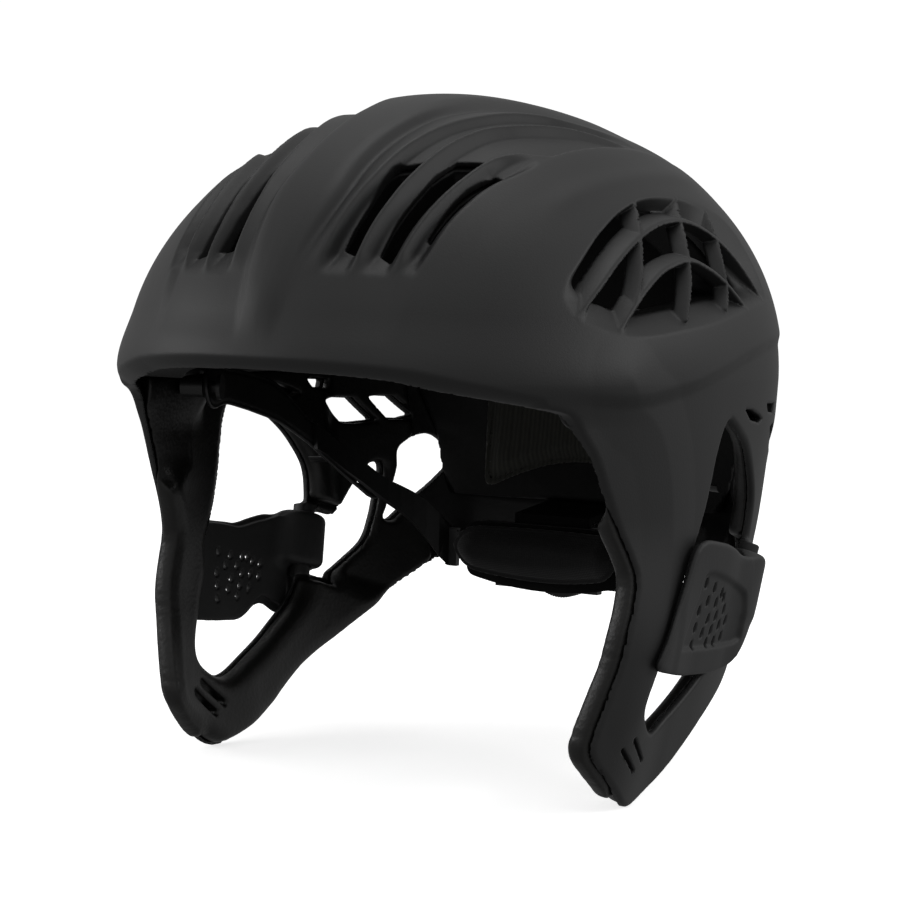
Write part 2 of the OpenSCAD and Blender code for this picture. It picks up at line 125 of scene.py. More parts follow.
class Grid2:
    def __init__(self, lo, hi, d=0.5):
        self.lo, self.d = lo, d
        self.n = (int((hi[0] - lo[0]) / d) + 2, int((hi[1] - lo[1]) / d) + 2)
        self.U, self.V = np.meshgrid(lo[0] + d * np.arange(self.n[0]), lo[1] + d * np.arange(self.n[1]), indexing="ij")

    def at(self, A, u, v):
        fu = np.clip((u - self.lo[0]) / self.d, 0, self.n[0] - 1.001)
        fv = np.clip((v - self.lo[1]) / self.d, 0, self.n[1] - 1.001)
        i, j = fu.astype(int), fv.astype(int)
        a, b = fu - i, fv - j
        return (A[i, j] * (1 - a) + A[i + 1, j] * a) * (1 - b) + (A[i, j + 1] * (1 - a) + A[i + 1, j + 1] * a) * b

    def blur(self, A, n=1):
        for _ in range(n):
            for ax in (0, 1):
                B = np.concatenate([A.take([0], ax), A, A.take([-1], ax)], ax)
                A = (B.take(range(0, B.shape[ax] - 2), ax) + 2 * A + B.take(range(2, B.shape[ax]), ax)) / 4
        return A

    def window(self, p, pad):
        lo, hi = p.min(0) - pad, p.max(0) + pad
        i0, j0 = (max(int((lo[k] - self.lo[k]) / self.d), 0) for k in (0, 1))
        i1, j1 = (min(int((hi[k] - self.lo[k]) / self.d) + 1, self.n[k]) for k in (0, 1))
        return slice(i0, i1), slice(j0, j1)

    def line(self, p, pad=14.0, big=40.0, closed=False):
        """Distance to a line, within pad of it."""
        w = self.window(p, pad)
        U, V = self.U[w], self.V[w]
        q = np.roll(p, -1, 0) if closed else p[1:]
        D = np.full(U.shape, big * big)
        for a, b in zip(p if closed else p[:-1], q):
            e = b - a
            L = max(float(e @ e), 1e-9)
            t = np.clip(((U - a[0]) * e[0] + (V - a[1]) * e[1]) / L, 0, 1)
            D = np.minimum(D, (U - a[0] - t * e[0]) ** 2 + (V - a[1] - t * e[1]) ** 2)
        out = np.full(self.n, big)
        out[w] = np.minimum(np.sqrt(D), big)
        return out

    def poly(self, p, pad=14.0, big=40.0):
        """Signed distance to a closed outline, negative inside."""
        out = self.line(p, pad, big, closed=True)
        w = self.window(p, pad)
        U, V = self.U[w], self.V[w]
        c = np.zeros(U.shape, bool)
        for a, b in zip(p, np.roll(p, -1, 0)):
            if a[1] == b[1]:
                continue
            hit = ((a[1] > V) != (b[1] > V)) & (U < (b[0] - a[0]) * (V - a[1]) / (b[1] - a[1]) + a[0])
            c ^= hit
        sub = out[w]
        out[w] = np.where(c, -sub, sub)
        return out


def table(v, ks, vs):
    """Smooth curve through (ks, vs), looked up at v."""
    c = cr(np.stack([ks, vs], 1), 8, False)
    return np.interp(v, c[:, 0], c[:, 1])


GS = Grid2((-142, -148), (138, 102))   # side view: y, z
GT = Grid2((0, -142), (114, 138))      # plan: x, y

# outlines in the side view
KEEP = [(-160, 2.5), (-140, 2.5), (-134, 2.2), (-124, 0.4), (-116, -2.4), (-105, -4.8), (-94, -7), (-84, -9.6), (-77.5, -16.7), (-72.4, -23), (-67.4, -32.2),
        (-62.7, -40.7), (-59.6, -46), (-54.0, -55.5), (-51.6, -62.3), (-53, -70), (-56, -81), (-57.4, -90.6), (-59.6, -100.2),
        (-61.9, -112), (-61.2, -118.8), (-54.4, -125.9), (-43.4, -134.8), (-36.8, -139.2), (-31.5, -140.2), (-24, -139.2), (-12, -136),
        (0, -130.9), (7, -127), (14.4, -122.9), (21.5, -119.1), (32, -114.4), (43, -109.7), (56, -103), (66, -97), (74, -91.5), (82, -86), (90, -80.5),
        (97, -78), (104, -78.5), (110, -80), (118, -80.5), (150, -80.5), (150, 130), (-160, 130)]
WIN1 = [(0, -12.6), (4, -13.7), (10, -16.8), (19, -21.4), (27.4, -27.5), (34, -34.4), (39, -42), (40, -50), (38.6, -60), (35.2, -71), (30.6, -82),
        (27, -89), (20, -95.2), (10, -101.2), (0.5, -106.2), (-12.5, -111.8), (-21.5, -115.4), (-27, -115.8), (-33.5, -112.6), (-38.8, -108),
        (-39.8, -103), (-35.8, -93), (-30.3, -80), (-23.2, -66), (-16.7, -53), (-12.5, -42), (-10, -32), (-8, -24), (-4.5, -16.5)]
WIN2 = [(71.5, -41.3), (75.6, -41.8), (75.5, -47), (72.6, -55.8), (69.8, -64), (65.6, -72.6), (58, -78.7), (47.1, -84.9), (41.2, -84), (46.4, -72.8),
        (53.4, -60.8), (61.2, -50.6), (67.5, -43.8)]
WIN3 = [(90.7, -30), (96, -30.4), (99, -34), (100.6, -39.3), (99, -43.8), (93, -51), (85, -58.2), (80.5, -61.9), (76.4, -65.2), (72.6, -64), (74.4, -59.5),
        (76.8, -53.3), (80.3, -43.9), (81.8, -35.6)]
LAT = [[(13.2, -9.3), (20, -9.6), (29, -11.7), (33.5, -13.4), (29.5, -14.4), (19.3, -13.0)],
       [(38.6, -8.2), (51.8, -8.6), (51, -11.8), (41.3, -11.0)],
       [(49, -16.9), (57, -15.8), (65, -16.1), (73.7, -24.8), (64, -25.6), (58, -25.2)],
       [(72, -15.8), (76, -15.2), (82, -15.5), (89.2, -22.8), (84.4, -24.1), (78.4, -23.9)]]
RIM = [(-83.1, 26.8), (-81.2, 29.9), (-77.6, 33.6), (-70, 39.4), (-60.7, 45.9), (-50.4, 51.3), (-40.1, 55.6),
       (-28.2, 59.1), (-17.1, 60.7), (-7.9, 61.2), (0.6, 61.1), (10.3, 59.9), (20.5, 58), (28.9, 55.6),
       (34.3, 50.6), (36.5, 43.1), (38.7, 35.9), (39.3, 28.7), (23.2, 26.5), (6.3, 24), (-11.8, 21),
       (-26.6, 19), (-38.8, 17.6), (-52, 16), (-61, 15.6), (-68.8, 16.4), (-75.7, 18.1), (-80.2, 20.2),
       (-82.5, 23.2)]
OPEN = [(-76, 30.6), (-74.2, 33.1), (-66.3, 39.5), (-55.8, 46.1), (-44.3, 51.6), (-32.1, 54.7), (-21.1, 55.8),
        (-9.2, 55), (2.4, 52.9), (8.8, 48.8), (16.4, 40.6), (21.6, 33.3), (21.1, 30.5), (4.7, 28.3),
        (-14.3, 26.2), (-28.6, 24.4), (-39.6, 23), (-57.1, 21.5), (-66.2, 24.7), (-71.4, 25.9), (-74.1, 27.9)]
ARCS = [[(-80, 20.8), (-75.2, 25.2), (-69.8, 29.6), (-57.1, 38.6), (-42.2, 46.3), (-26.3, 51.6), (-11.1, 53.6),
         (1.4, 52.2), (12, 47.9), (21.8, 40.7), (34.4, 28.6)],
        [(-65.9, 17.1), (-55.2, 26.2), (-44.9, 32.7), (-33.9, 37.4), (-19.5, 40.3), (-10.4, 38.9), (-0.7, 35.2),
         (8.1, 29.4), (13.6, 25.1)]]
FINS = [[(-30.9, 58.3), (-34.7, 53.3), (-39.5, 47.7), (-45.7, 38.9), (-51.3, 31.6), (-57.8, 24.3), (-65.9, 17.1)],
        [(-1.7, 60.7), (-9.2, 53.1), (-14, 47), (-18.2, 41), (-22.9, 33.8), (-27.7, 27.3), (-32.7, 20.5)],
        [(16.7, 57.1), (12.1, 49.2), (7.5, 41.7), (4, 35), (1.1, 29.3), (-3, 24.3)]]
SHOULDER = [(-77, 50), (-68, 55.5), (-57, 59.8), (-47, 62.4), (-37, 64.6), (-17, 67.6), (5, 69.5), (24, 69.6), (40, 68)]
ARM_RIDGE = [(-66, 2), (-59.8, -6), (-52.5, -10.2), (-46.9, -15.7), (-42.1, -23.9), (-37.4, -37.1), (-35, -50.3),
             (-35.6, -63.4), (-37.4, -76.5), (-41, -92), (-44, -106)]
SLOTS = [[(26, -119), (20.9, -119), (20.9, -113), (21.3, -105), (21, -96), (21.2, -90), (22, -87), (25, -84.6), (28, -82), (27.7, -90),
          (27, -97), (26.5, -105), (26, -113)],
         [(37.2, -116.5), (32.6, -116.5), (33, -105.4), (33.9, -94.5), (34.4, -86), (36.3, -75.6), (43.6, -69), (43, -75), (41.8, -85), (40, -95), (38.4, -105)],
         [(45.6, -107), (44.3, -106.5), (44.8, -100), (45.4, -93), (46.4, -86), (47.9, -79.5), (50.3, -73), (52.4, -73), (50.6, -80), (49, -87), (47.7, -94),
          (46.5, -101)]]

S_KEEP = GS.blur(GS.poly(cr(KEEP, 9), 400, 60), 5)
S_WIN = GS.blur(np.minimum(np.minimum(GS.poly(cr(WIN1, 8)), GS.poly(cr(WIN2, 6)) + 0.6), GS.poly(cr(WIN3, 6)) + 0.7), 3)
S_LAT = GS.poly(np.array(LAT[0], float))
for q in LAT[1:]:
    S_LAT = np.minimum(S_LAT, GS.poly(np.array(q, float)))
S_RIM = GS.poly(cr(RIM, 3), 24)
S_OPEN = GS.poly(cr(OPEN, 3), 24)
S_ARC = np.minimum(GS.line(cr(ARCS[0], 4, False)), GS.line(cr(ARCS[1], 4, False)))
S_FIN = np.minimum(np.minimum(GS.line(cr(FINS[0], 3, False)), GS.line(cr(FINS[1], 3, False))), GS.line(cr(FINS[2], 3, False)))
T_SLOT = GT.poly(np.array(SLOTS[0], float))
for q in SLOTS[1:]:
    T_SLOT = np.minimum(T_SLOT, GT.poly(np.array(q, float)))

# ---- relief of the outer surface, side view
Y, Z = GS.U, GS.V
pocket = np.where((S_RIM < 0) & (S_OPEN > 0), -S_RIM / (-S_RIM + S_OPEN + 1e-6), np.where(S_OPEN <= 0, 1.0, 0.0))
crease = np.interp(Y, [-123.8, -115.6, -105, -94.8, -84.3, -75.8, -66.3, -55.8, -43.8, -29.6, -12.1, 10.4, 35.2, 70, 130],
                   [3.3, 1.9, 0.7, -0.1, -1.5, -2.4, -2.8, -2.2, -0.5, 1.9, 5.9, 11, 14.8, 17, 18])
S_SHOULDER = GS.line(cr(SHOULDER, 4, False), 20)
S_RIDGE = GS.line(cr(ARM_RIDGE, 4, False), 20)
HS = -np.interp(Y, [-80, -66, -45], [2.2, 4.2, 6.0]) * pocket
HS += 0.7 * np.exp(-(S_SHOULDER / 3.0) ** 2) * sm((Y + 80) / 26) * sm((46 - Y) / 30)
HS -= 1.9 * sm((crease - Z) / 5.0) * sm((Y + 92) / 26) * (1 - 0.35 * sm((Y - 20) / 40))
HS += 0.9 * np.maximum(1 - S_RIDGE / 15.0, 0)
HS = GS.blur(HS, 2)
ES = np.maximum(np.maximum(0, 6.0 * sm((1.5 - S_RIM) / 3.0) - 0.5), np.minimum(-HS, 2.2) * 0.8)
ES = GS.blur(ES, 3)

# ---- relief of the outer surface, in plan
X, Yp = GT.U, GT.V
rA = table(Yp, [-140, -124, -120, -113, -105.5, -98, -90, -83, -73.7, -64, -55, -46, -37, -28, -19, -10, 0, 10, 30],
           [15, 15.8, 16.2, 17, 17.8, 18.9, 19.7, 20.4, 21.8, 23.7, 26.2, 29, 31.6, 34.7, 38.7, 44.3, 49.5, 54, 60])
rB = table(Yp, [-140, -122, -118, -110, -104, -95, -87, -76, -67, -56.6, -49, -44, -33, -24, -16.5, -7.5, 0, 10, 30],
           [27, 27.5, 27.6, 28.1, 28.8, 29.6, 30.5, 31.6, 33, 35.1, 37.6, 39.6, 43.6, 46.8, 49.6, 54, 58.5, 62, 66])
rO = table(Yp, [-140, -115, -108, -103, -97, -91, -84, -77, -71, -63, -54, -45, -35, -20, -3, 10, 30], [45, 45.5, 46.4, 47, 47.9, 49.1, 50.4, 52.1, 54, 55.8, 57, 58, 58.9, 60, 61, 62, 64])
rC = np.minimum(table(Yp, [-140, -118, -114, -108, -100, -90, -82, -74, -66, -59, -54, -40], [39, 39.4, 39.6, 40.3, 41.5, 43.2, 44.6, 45.8, 47.6, 50.6, 54.5, 62]), rO)
e1 = table(Yp, [-134, -124, -112, -104, -95, -85, -69, -48, -20, 20, 130], [4.2, 6, 7.6, 8, 7.9, 7.4, 7.2, 7, 8, 8, 4])
e2 = table(Yp, [-134, -129, -124, -119, -112, -104, -95, -84, -71, -58, -46, -33, -24, -12, 0, 20, 60, 130], [7, 8.4, 9.8, 11, 12.4, 13.2, 12.8, 13, 13.9, 15.4, 18.8, 25, 31, 38, 43, 47, 43, 28])


def prof(knots):
    """Piecewise profile in x at each y: knots are (x array, height array), in order."""
    out = np.zeros(GT.n) + knots[0][1]
    for (x0, h0), (x1, h1) in zip(knots[:-1], knots[1:]):
        t = np.clip((X - x0) / np.maximum(x1 - x0, 0.3), 0, 1)
        out = np.where(X >= x0, h0 + (h1 - h0) * t, out)
    return out


one = np.ones(GT.n)
# height of the plain surface over each plan point, for the crease at the foot of the vents
yy = Yp - YC
sgm = 1 / (1 + np.exp(-yy / 15))
nn, mm = NF + (NR - NF) * sgm, MF + (MR - MF) * sgm
qq = ((X / A0) ** nn + (np.abs(yy) / np.where(yy < 0, BF, BR)) ** nn) ** (1 / nn)
ZS = CR * np.maximum(1 - np.minimum(qq, 1) ** mm, 0) ** (1 / mm)
foot = np.clip((ZS - 32) / 7.3, 0, 1)
g1 = np.interp(Yp, [-118, -105, -92, -80, -65, -45, -20, -2, 8], [-4.7, -4.6, -4.4, -4.0, -3.3, -2.8, -2.4, -1.6, 0])
g2 = np.interp(Yp, [-118, -100, -85, -70, -60, -45, -30, -14, -2, 8], [-4.7, -4.6, -4.5, -4.2, -3.6, -3.1, -2.8, -1.8, -0.9, 0])
g3 = np.interp(Yp, [-118, -75, -66, -57], [-3.6, -3.6, -1.8, 0.3])
hsp = 2.0 * one * np.interp(Yp, [-30, 10, 40], [1, 0.15, -0.4])
wall = np.interp(Yp, [-60, -20], [2.6, 9])
hv = np.interp(Yp, [-125, -115, -100, -60, -30, 10, 60], [-0.6, -1.8, -2.6, -2.2, -1.7, -0.8, -0.3])
crest = 0.4 * np.interp(Yp, [-20, 10], [1, 0])
HT = prof([(0 * one, hsp), (np.maximum(e2 - wall - 3.2, 1), hsp * 0.92), (e2 - wall, hsp * 0.55), (e2, hv), (rA - 0.5, crest), (rA + 0.3, crest), (rA + 2.9, g1), (rB - 2.5, g1), (rB - 0.3, crest),
           (rB + 0.4, crest), (rB + 4.0, g2), (rC - 2.4, g2), (rC - 0.3, crest), (rC + 0.4, crest),
           (np.minimum(rC + 3.4, rO - 1.0), g3), (rO - 0.8, g3), (rO + 0.7, 0.35 * one), (rO + 9, 0 * one)])
ft = np.interp(ZS, [6, 30], [0, 1])
hb = 1.6 * sm((ZS - 4) / 24)
HF = prof([(0 * one, hb), (e2 - 5.5, hb * 0.9), (e2 - 2.4, hb * 0.55), (e2, -0.5 * ft), (e2 + 5, -0.7 * ft), (41 * one, -1.0 * ft), (44.6 * one, 0.35 * ft), (55 * one, 0 * one)])
HP = HF * (1 - foot) + HT * foot
HP = GT.blur(HP, 1)
soft = sm((rA - 2.5 - X) / 3.0)
HP = HP * (1 - soft) + GT.blur(HP, 5) * soft
ET = -np.minimum(HT * foot, 0)
for _ in range(6):
    for ax in (0, 1):
        B = np.concatenate([ET.take([0], ax), ET, ET.take([-1], ax)], ax)
        ET = np.maximum(np.maximum(B.take(range(0, B.shape[ax] - 2), ax), ET), B.take(range(2, B.shape[ax]), ax))
ET = np.maximum(GT.blur(ET, 10) - 0.7, 0)

SA = np.array([90.0, 32.6, -86.0])
SD = np.array([0.1296, 0.2808, 0.9510])
SD = SD / np.linalg.norm(SD)
ST = np.array([-0.245, 0.97, 0.0])
ST = ST - (ST @ SD) * SD
ST = ST / np.linalg.norm(ST)
SN = np.cross(SD, ST)


def along(P):
    """Height along the strut's bar and distance from it."""
    Q = np.stack([np.abs(P[:, 0]), P[:, 1], P[:, 2]], -1) - SA
    t = Q @ SD
    return t, np.sqrt(np.maximum((Q * Q).sum(1) - t * t, 0))


def extra(P, xr=None, yr=None):
    """How much deeper than usual the inner face lies: under the vents, behind the grilles and along the brim."""
    x, y, z = np.abs(P[:, 0]), P[:, 1], P[:, 2]
    if xr is None:
        _, xr, yr = dome(P, 0.0, True)
    return GT.at(ET, xr, yr) * sm((z - 22) / 8) + GS.at(ES, y, z) * sm((x - 50) / 15) + 2.2 * sm((15 - z) / 8) * sm((-70 - y) / 20)


def thin_edge(P):
    """How much thinner the shell gets towards the front edge of the cheeks."""
    return 1.1 * sm((GS.at(S_KEEP, P[:, 1], P[:, 2]) + 5) / 4) * sm((-44 - P[:, 1]) / 6) * sm((-36 - P[:, 2]) / 10)


def strap_slots(P, w, g):
    f = np.full(len(P), 50.0)
    c, s = math.cos(math.radians(-38)), math.sin(math.radians(-38))
    for k in ((-42.9, -122.7), (-37.2, -119.9)):
        y, z = P[:, 1] - k[0], P[:, 2] - k[1]
        u, v = c * y + s * z, -s * y + c * z
        qx, qy = np.abs(u) - (w - g), np.abs(v) - 0.02
        f = np.minimum(f, np.hypot(np.maximum(qx, 0), np.maximum(qy, 0)) - g)
    return f


def f_shell(P):
    x, y, z = np.abs(P[:, 0]), P[:, 1], P[:, 2]
    (s0, xr, yr), s3 = dome(P, 0.0, True), dome(P, 3.0)
    ht, hs = GT.at(HP, xr, yr), GS.at(HS, y, z)
    ex = extra(P, xr, yr) - thin_edge(P)
    up, out = sm((z - 2) / 5), sm((x - 50) / 15)
    fo = s0 - ht * up - hs * out
    # lower edge of the brim turns in below its crest line
    zc = np.interp(y, [-140, -134.9, -123.8, -115.6, -104.8, -94.4, -82.7, -74], [6.2, 5.9, 3.6, 0.8, -2.2, -4.4, -7.6, -12])
    cham = np.where(y < -82, (s0 + 0.95 * (zc - z)) / 1.38 - 14 * sm((y + 96) / 14), -50)
    fo = smax(fo, cham, 0.7)
    f = smax(fo, GS.at(S_KEEP, y, z), 1.2)
    side = x > 30
    win = np.where(side, GS.at(S_WIN, y, z), 40.0)
    lat = np.where(side, GS.at(S_LAT, y, z), 40.0)
    f = smax(f, -win, 2.2)
    f = smax(f, -lat, 1.0)
    f = smax(f, -strap_slots(P, 8.0, 0.8), 0.5)
    opn = np.where(side, GS.at(S_OPEN, y, z), 40.0)
    f = smax(f, -opn, 0.9)
    slot = np.where(z > 24, GT.at(T_SLOT, xr, yr), 40.0)
    f = smax(f, -slot, 0.4)
    f = smax(f, -(s3 + ex), 0.3)
    # rear strut: round bar inside the sleeve
    t, rho = along(P)
    f = smax(f, -np.maximum(np.abs(t - 15.4) - 12.2, rho - 13.0), 2.5)
    bar = np.maximum(np.abs(t - 15.35) - 14.2, rho - 4.0)
    f = smin(f, bar, 2.5)
    # ribs of the side grille
    dep = -(s0 - 0.0)
    wd = 0.7 + 0.36 * np.clip(dep - 0.3, 0, 7)
    arc = GS.at(S_ARC, y, z) - wd
    fin = GS.at(S_FIN, y, z) - wd * 0.62
    rib = np.maximum(np.minimum(arc, fin), GS.at(S_RIM, y, z) - 1.5)
    rib = smax(rib, -dep + 0.35, 0.5)
    rib = smax(rib, dep - 5.6, 1.5)
    f = np.where(side & (z > 5), smin(f, rib, 0.9), f)
    # arch for the dial
    f = smax(f, np.where(y > 55, 34 - np.hypot(x, z + 100), -50.0), 1.0)
    return f


def f_domefoam(P):
    x, y, z = np.abs(P[:, 0]), P[:, 1], P[:, 2]
    (so, xr, yr), si = dome(P, 3.5, True), dome(P, 22.5)
    ex = extra(P, xr, yr)
    f = smax(so + ex, -si, 2.0)
    low = np.interp(y, [-150, -122, -104, -88, 89, 95, 95.5, 150], [8.5, 8.5, 0, -4, -4, -30, -54, -54])
    f = smax(f, (low - z) * np.where((y > 86) & (y < 97), 0.25, 0.95), 3.0)
    slot = np.where(z > 20, GT.at(T_SLOT, xr, yr) - 1.2, 40.0)
    f = smax(f, -slot, 1.0)
    # hollows behind the side grilles
    opn = np.where(x > 30, GS.at(S_OPEN, y, z) - 1.5, 40.0)
    f = smax(f, -np.maximum(opn, -(so + 40.0)), 2.0)
    return f


def f_armfoam(P):
    x, y, z = np.abs(P[:, 0]), P[:, 1], P[:, 2]
    # thick along the cheeks and the lower bar, thin over the lattice, fuller where it meets the lining of the dome
    thin = (0.3 * sm((y - 2) / 14) + 0.7 * sm((y - 44) / 12)) * sm((z + 88 + 0.35 * np.maximum(y - 30, 0)) / 12)
    full = sm((z + 26) / 20) * sm((-30 - y) / 12)
    (so, xr, yr), si = dome(P, 3.1, True), dome(P, 11.4 - 5.0 * thin + 9.0 * full)
    so = so + np.minimum(extra(P, xr, yr), 3.0) - thin_edge(P)
    dep = np.maximum(-so, 0)
    sk = GS.at(S_KEEP, y, z)
    # the front edge stands a little proud of the shell lower down, and slants back under the shell higher up
    fwd = sm((-40 - y) / 8) * sm((-34 - z) / 14)
    up = sm((z + 46) / 14) * sm((-40 - y) / 6)
    keep = (sk + 0.7 + 1.8 * dep * up) / (1 + up) - (2.3 + 0.2 * sm((-80 - z) / 24)) * fwd
    win = -(GS.at(S_WIN, y, z) - 0.5 - 6.5 * sm((-3 - y) / 8) * sm((z + 80) / 18) * sm((-10 - z) / 10))
    lat = -(GS.at(S_LAT, y, z) - 0.5)
    t, rho = along(P)
    cut = -np.maximum(np.abs(t - 15.5) - 16.0, rho - 15.0)
    reg = smax(keep, win, 1.2)
    # inner edges are well rounded, the edges against the shell are tighter
    f = smax(smax(reg, -si, 7.0 - 4.5 * thin), so, 0.8)
    f = smax(f, lat, 1.0)
    f = smax(f, cut, 2.0)
    f = smax(f, z + 4.6, 1.0)
    f = smax(f, y - 88.3, 4.0)
    f = smax(f, -strap_slots(P, 8.4, 1.3), 1.0)
    f = np.maximum(f, 30 - x)
    return smax(f, -75.5 - P[:, 1], 0.8)


def refit(L):
    """Side-view points traced on the plain surface, moved to where the flared cheeks put them."""
    out = []
    for y, z in L:
        q = 5.0 * float(sm((-z - 42) / 46)) * float(sm((-8 - (y - YC)) / 42))
        out.append((y - 1.7 * q, z))
    return out


COVER = refit([(-20.5, -52.5), (-4, -53.3), (8, -56), (20, -60), (30, -61.5), (41, -64.5), (45.5, -69), (44, -78), (39, -86), (32, -93.5),
               (24, -98.5), (12, -99.8), (-8, -98.3), (-20, -96.8), (-32.5, -93.6), (-37.8, -90.8), (-34.4, -82.5), (-27.4, -65.5)])
PLATE = refit([(-19.6, -53.3), (-4, -54.3), (8, -58), (20, -62), (29, -64), (29, -94), (22, -95.5), (6, -97), (-12, -97.5), (-27, -95), (-35.8, -91.6), (-32.6, -83), (-25.6, -66)])
PANEL = refit([(-13.5, -62), (7, -66), (22, -71), (26.5, -75), (27.5, -86), (22, -92), (-22, -88.5), (-25.5, -86), (-23, -79), (-18, -70)])
SLITS = refit([(-10.4, -66.6), (-2.8, -69.0), (4.6, -71.6), (-6.9, -73.1), (0.5, -74.5), (7.3, -73.5), (-12.9, -75.8), (-4.1, -79.5), (2.7, -79.3),
               (9.6, -77.8), (-13.6, -81.5), (-7.0, -84.0), (0.5, -83.9), (7.3, -82.9), (13.5, -82), (-14.5, -87.4), (11.5, -87.5), (-2, -88), (5, -88.3)])
S_COVER, S_PLATE, S_PANEL = GS.poly(cr(COVER, 4)), GS.poly(cr(PLATE, 3)), GS.poly(cr(PANEL, 4))
S_SLIT = np.full(GS.n, 40.0)
for y_, z_ in SLITS:
    S_SLIT = np.minimum(S_SLIT, GS.poly(np.array([(y_ - 0.4, z_ + 1.7), (y_ + 1.0, z_ + 1.9), (y_ + 1.2, z_ - 1.3), (y_ - 0.9, z_ - 1.9), (y_ - 1.3, z_ - 0.2)]), 4))


def f_cover(P):
    x, y, z = np.abs(P[:, 0]), P[:, 1], P[:, 2]
    s0 = dome(P, 0.0)
    rec = sm(-GS.at(S_PANEL, y, z) / 2.2)
    lift = 2.4 - 0.5 * sm((-28 - y) / 6) + 2.2 * sm((y - 14) / 18)
    top = s0 - lift + 1.5 * rec
    low = np.where(GS.at(S_PLATE, y, z) < 0, -(s0 + 1.2), -(s0 - 0.35))
    f = smax(smax(top, GS.at(S_COVER, y, z), 1.6), -(s0 - 0.35), 0.8)
    f2 = smax(smax(top, GS.at(S_PLATE, y, z), 0.8), -(s0 + 1.2), 0.8)
    f = smin(f, f2, 0.3)
    f = smax(f, -GS.at(S_SLIT, y, z), 0.4)
    t, rho = along(P)
    Q = np.stack([x, y, z], -1) - SA
    u, w = Q @ ST, Q @ SN
    ell = (np.sqrt((u / 10.4) ** 2 + (w / 6.9) ** 2 + 1e-9) - 1) * 7.4
    sl = smax(ell, np.abs(t - 15.6) - 10.6, 3.0)
    f = smin(f, sl, 4.0)
    f = smax(f, -(rho - 4.4), 0.6)
    return np.maximum(f, 40 - x)


# ------------------------------------------------------------------ surface from a signed distance
def surface(f, lo, hi, h, sym=False, steps=2, relax=2):
    """Quads of the zero surface of f in the box lo..hi. With sym, f is even in x and the box starts at x = 0."""
    lo, hi = np.array(lo, float), np.array(hi, float)
    if sym:
        lo[0] = -0.5 * h
    B = 4
    nb = np.ceil((hi - lo) / (h * B)).astype(int) + 1
    n = nb * B
    c = [lo[k] + h * (B * np.arange(nb[k]) + (B - 1) / 2) for k in range(3)]
    C = np.stack(np.meshgrid(*c, indexing="ij"), -1).reshape(-1, 3)
    fc = f(C).reshape(nb)
    F = np.repeat(np.repeat(np.repeat(fc.astype(np.float32), B, 0), B, 1), B, 2)
    near = np.argwhere(np.abs(fc) < B * h * 0.87 * 1.9 + h)
    g = np.stack(np.meshgrid(*[np.arange(B)] * 3, indexing="ij"), -1).reshape(-1, 3)
    for a in range(0, len(near), 6000):
        idx = (near[a : a + 6000, None, :] * B + g[None]).reshape(-1, 3)
        F[idx[:, 0], idx[:, 1], idx[:, 2]] = f(lo + idx * h)
    S = F < 0
    m = [slice(0, -1), slice(1, None)]
    corners = [(i, j, k) for i in (0, 1) for j in (0, 1) for k in (0, 1)]
    any_, all_ = None, None
    for i, j, k in corners:
        s = S[m[i], m[j], m[k]]
        any_ = s.copy() if any_ is None else (any_ | s)
        all_ = s.copy() if all_ is None else (all_ & s)
    cells = np.argwhere(any_ & ~all_)
    vid = np.full(any_.shape, -1, np.int32)
    vid[cells[:, 0], cells[:, 1], cells[:, 2]] = np.arange(len(cells))
    val = {q: F[cells[:, 0] + q[0], cells[:, 1] + q[1], cells[:, 2] + q[2]].astype(float) for q in corners}
    acc, cnt = np.zeros((len(cells), 3)), np.zeros(len(cells))
    for q in corners:
        for ax in range(3):
            if q[ax]:
                continue
            r = list(q)
            r[ax] = 1
            a, b = val[q], val[tuple(r)]
            hit = (a < 0) != (b < 0)
            t = np.where(hit, a / np.where(hit, a - b, 1), 0)
            p = np.tile(np.array(q, float), (len(cells), 1))
            p[:, ax] += t
            acc += p * hit[:, None]
            cnt += hit
    V = lo + (cells + acc / cnt[:, None]) * h
    quads = []
    for ax in range(3):
        a, b = [slice(None)] * 3, [slice(None)] * 3
        a[ax], b[ax] = m
        cross = np.argwhere(S[tuple(a)] != S[tuple(b)])
        o1, o2 = [(1, 2), (2, 0), (0, 1)][ax]
        ok = (cross[:, o1] > 0) & (cross[:, o2] > 0)
        if sym:
            ok &= cross[:, 0] > 0
        cross = cross[ok]
        s = S[cross[:, 0], cross[:, 1], cross[:, 2]]
        q = []
        for d1, d2 in ((0, 0), (1, 0), (1, 1), (0, 1)):
            cc = cross.copy()
            cc[:, o1] -= d1
            cc[:, o2] -= d2
            q.append(vid[cc[:, 0], cc[:, 1], cc[:, 2]])
        q = np.stack(q, 1)
        q[~s] = q[~s][:, ::-1]
        quads.append(q[:, ::-1] if False else q)
    quads = np.concatenate(quads)
    quads = quads[(quads >= 0).all(1)]
    V = project(f, V, h, steps)
    E = np.concatenate([quads[:, [0, 1]], quads[:, [1, 2]], quads[:, [2, 3]], quads[:, [3, 0]]])
    for _ in range(relax):
        cnt = np.bincount(E[:, 0], minlength=len(V)) + np.bincount(E[:, 1], minlength=len(V)) + 1e-9
        avg = np.stack([np.bincount(E[:, 0], V[E[:, 1], k], len(V)) + np.bincount(E[:, 1], V[E[:, 0], k], len(V)) for k in range(3)], 1) / cnt[:, None]
        V = project(f, V + 0.5 * (avg - V), h, 1)
    V = tidy(f, V, quads, E)
    if sym:
        mid = cells[:, 0] == 0
        V[mid, 0] = 0
        W = V * [-1, 1, 1]
        other = np.arange(len(V)) + len(V)
        other[mid] = np.arange(len(V))[mid]
        quads = np.concatenate([quads, other[quads][:, ::-1]])
        V = np.concatenate([V, W])
    used = np.zeros(len(V), bool)
    used[quads.ravel()] = True
    new = np.cumsum(used) - 1
    return V[used], new[quads]


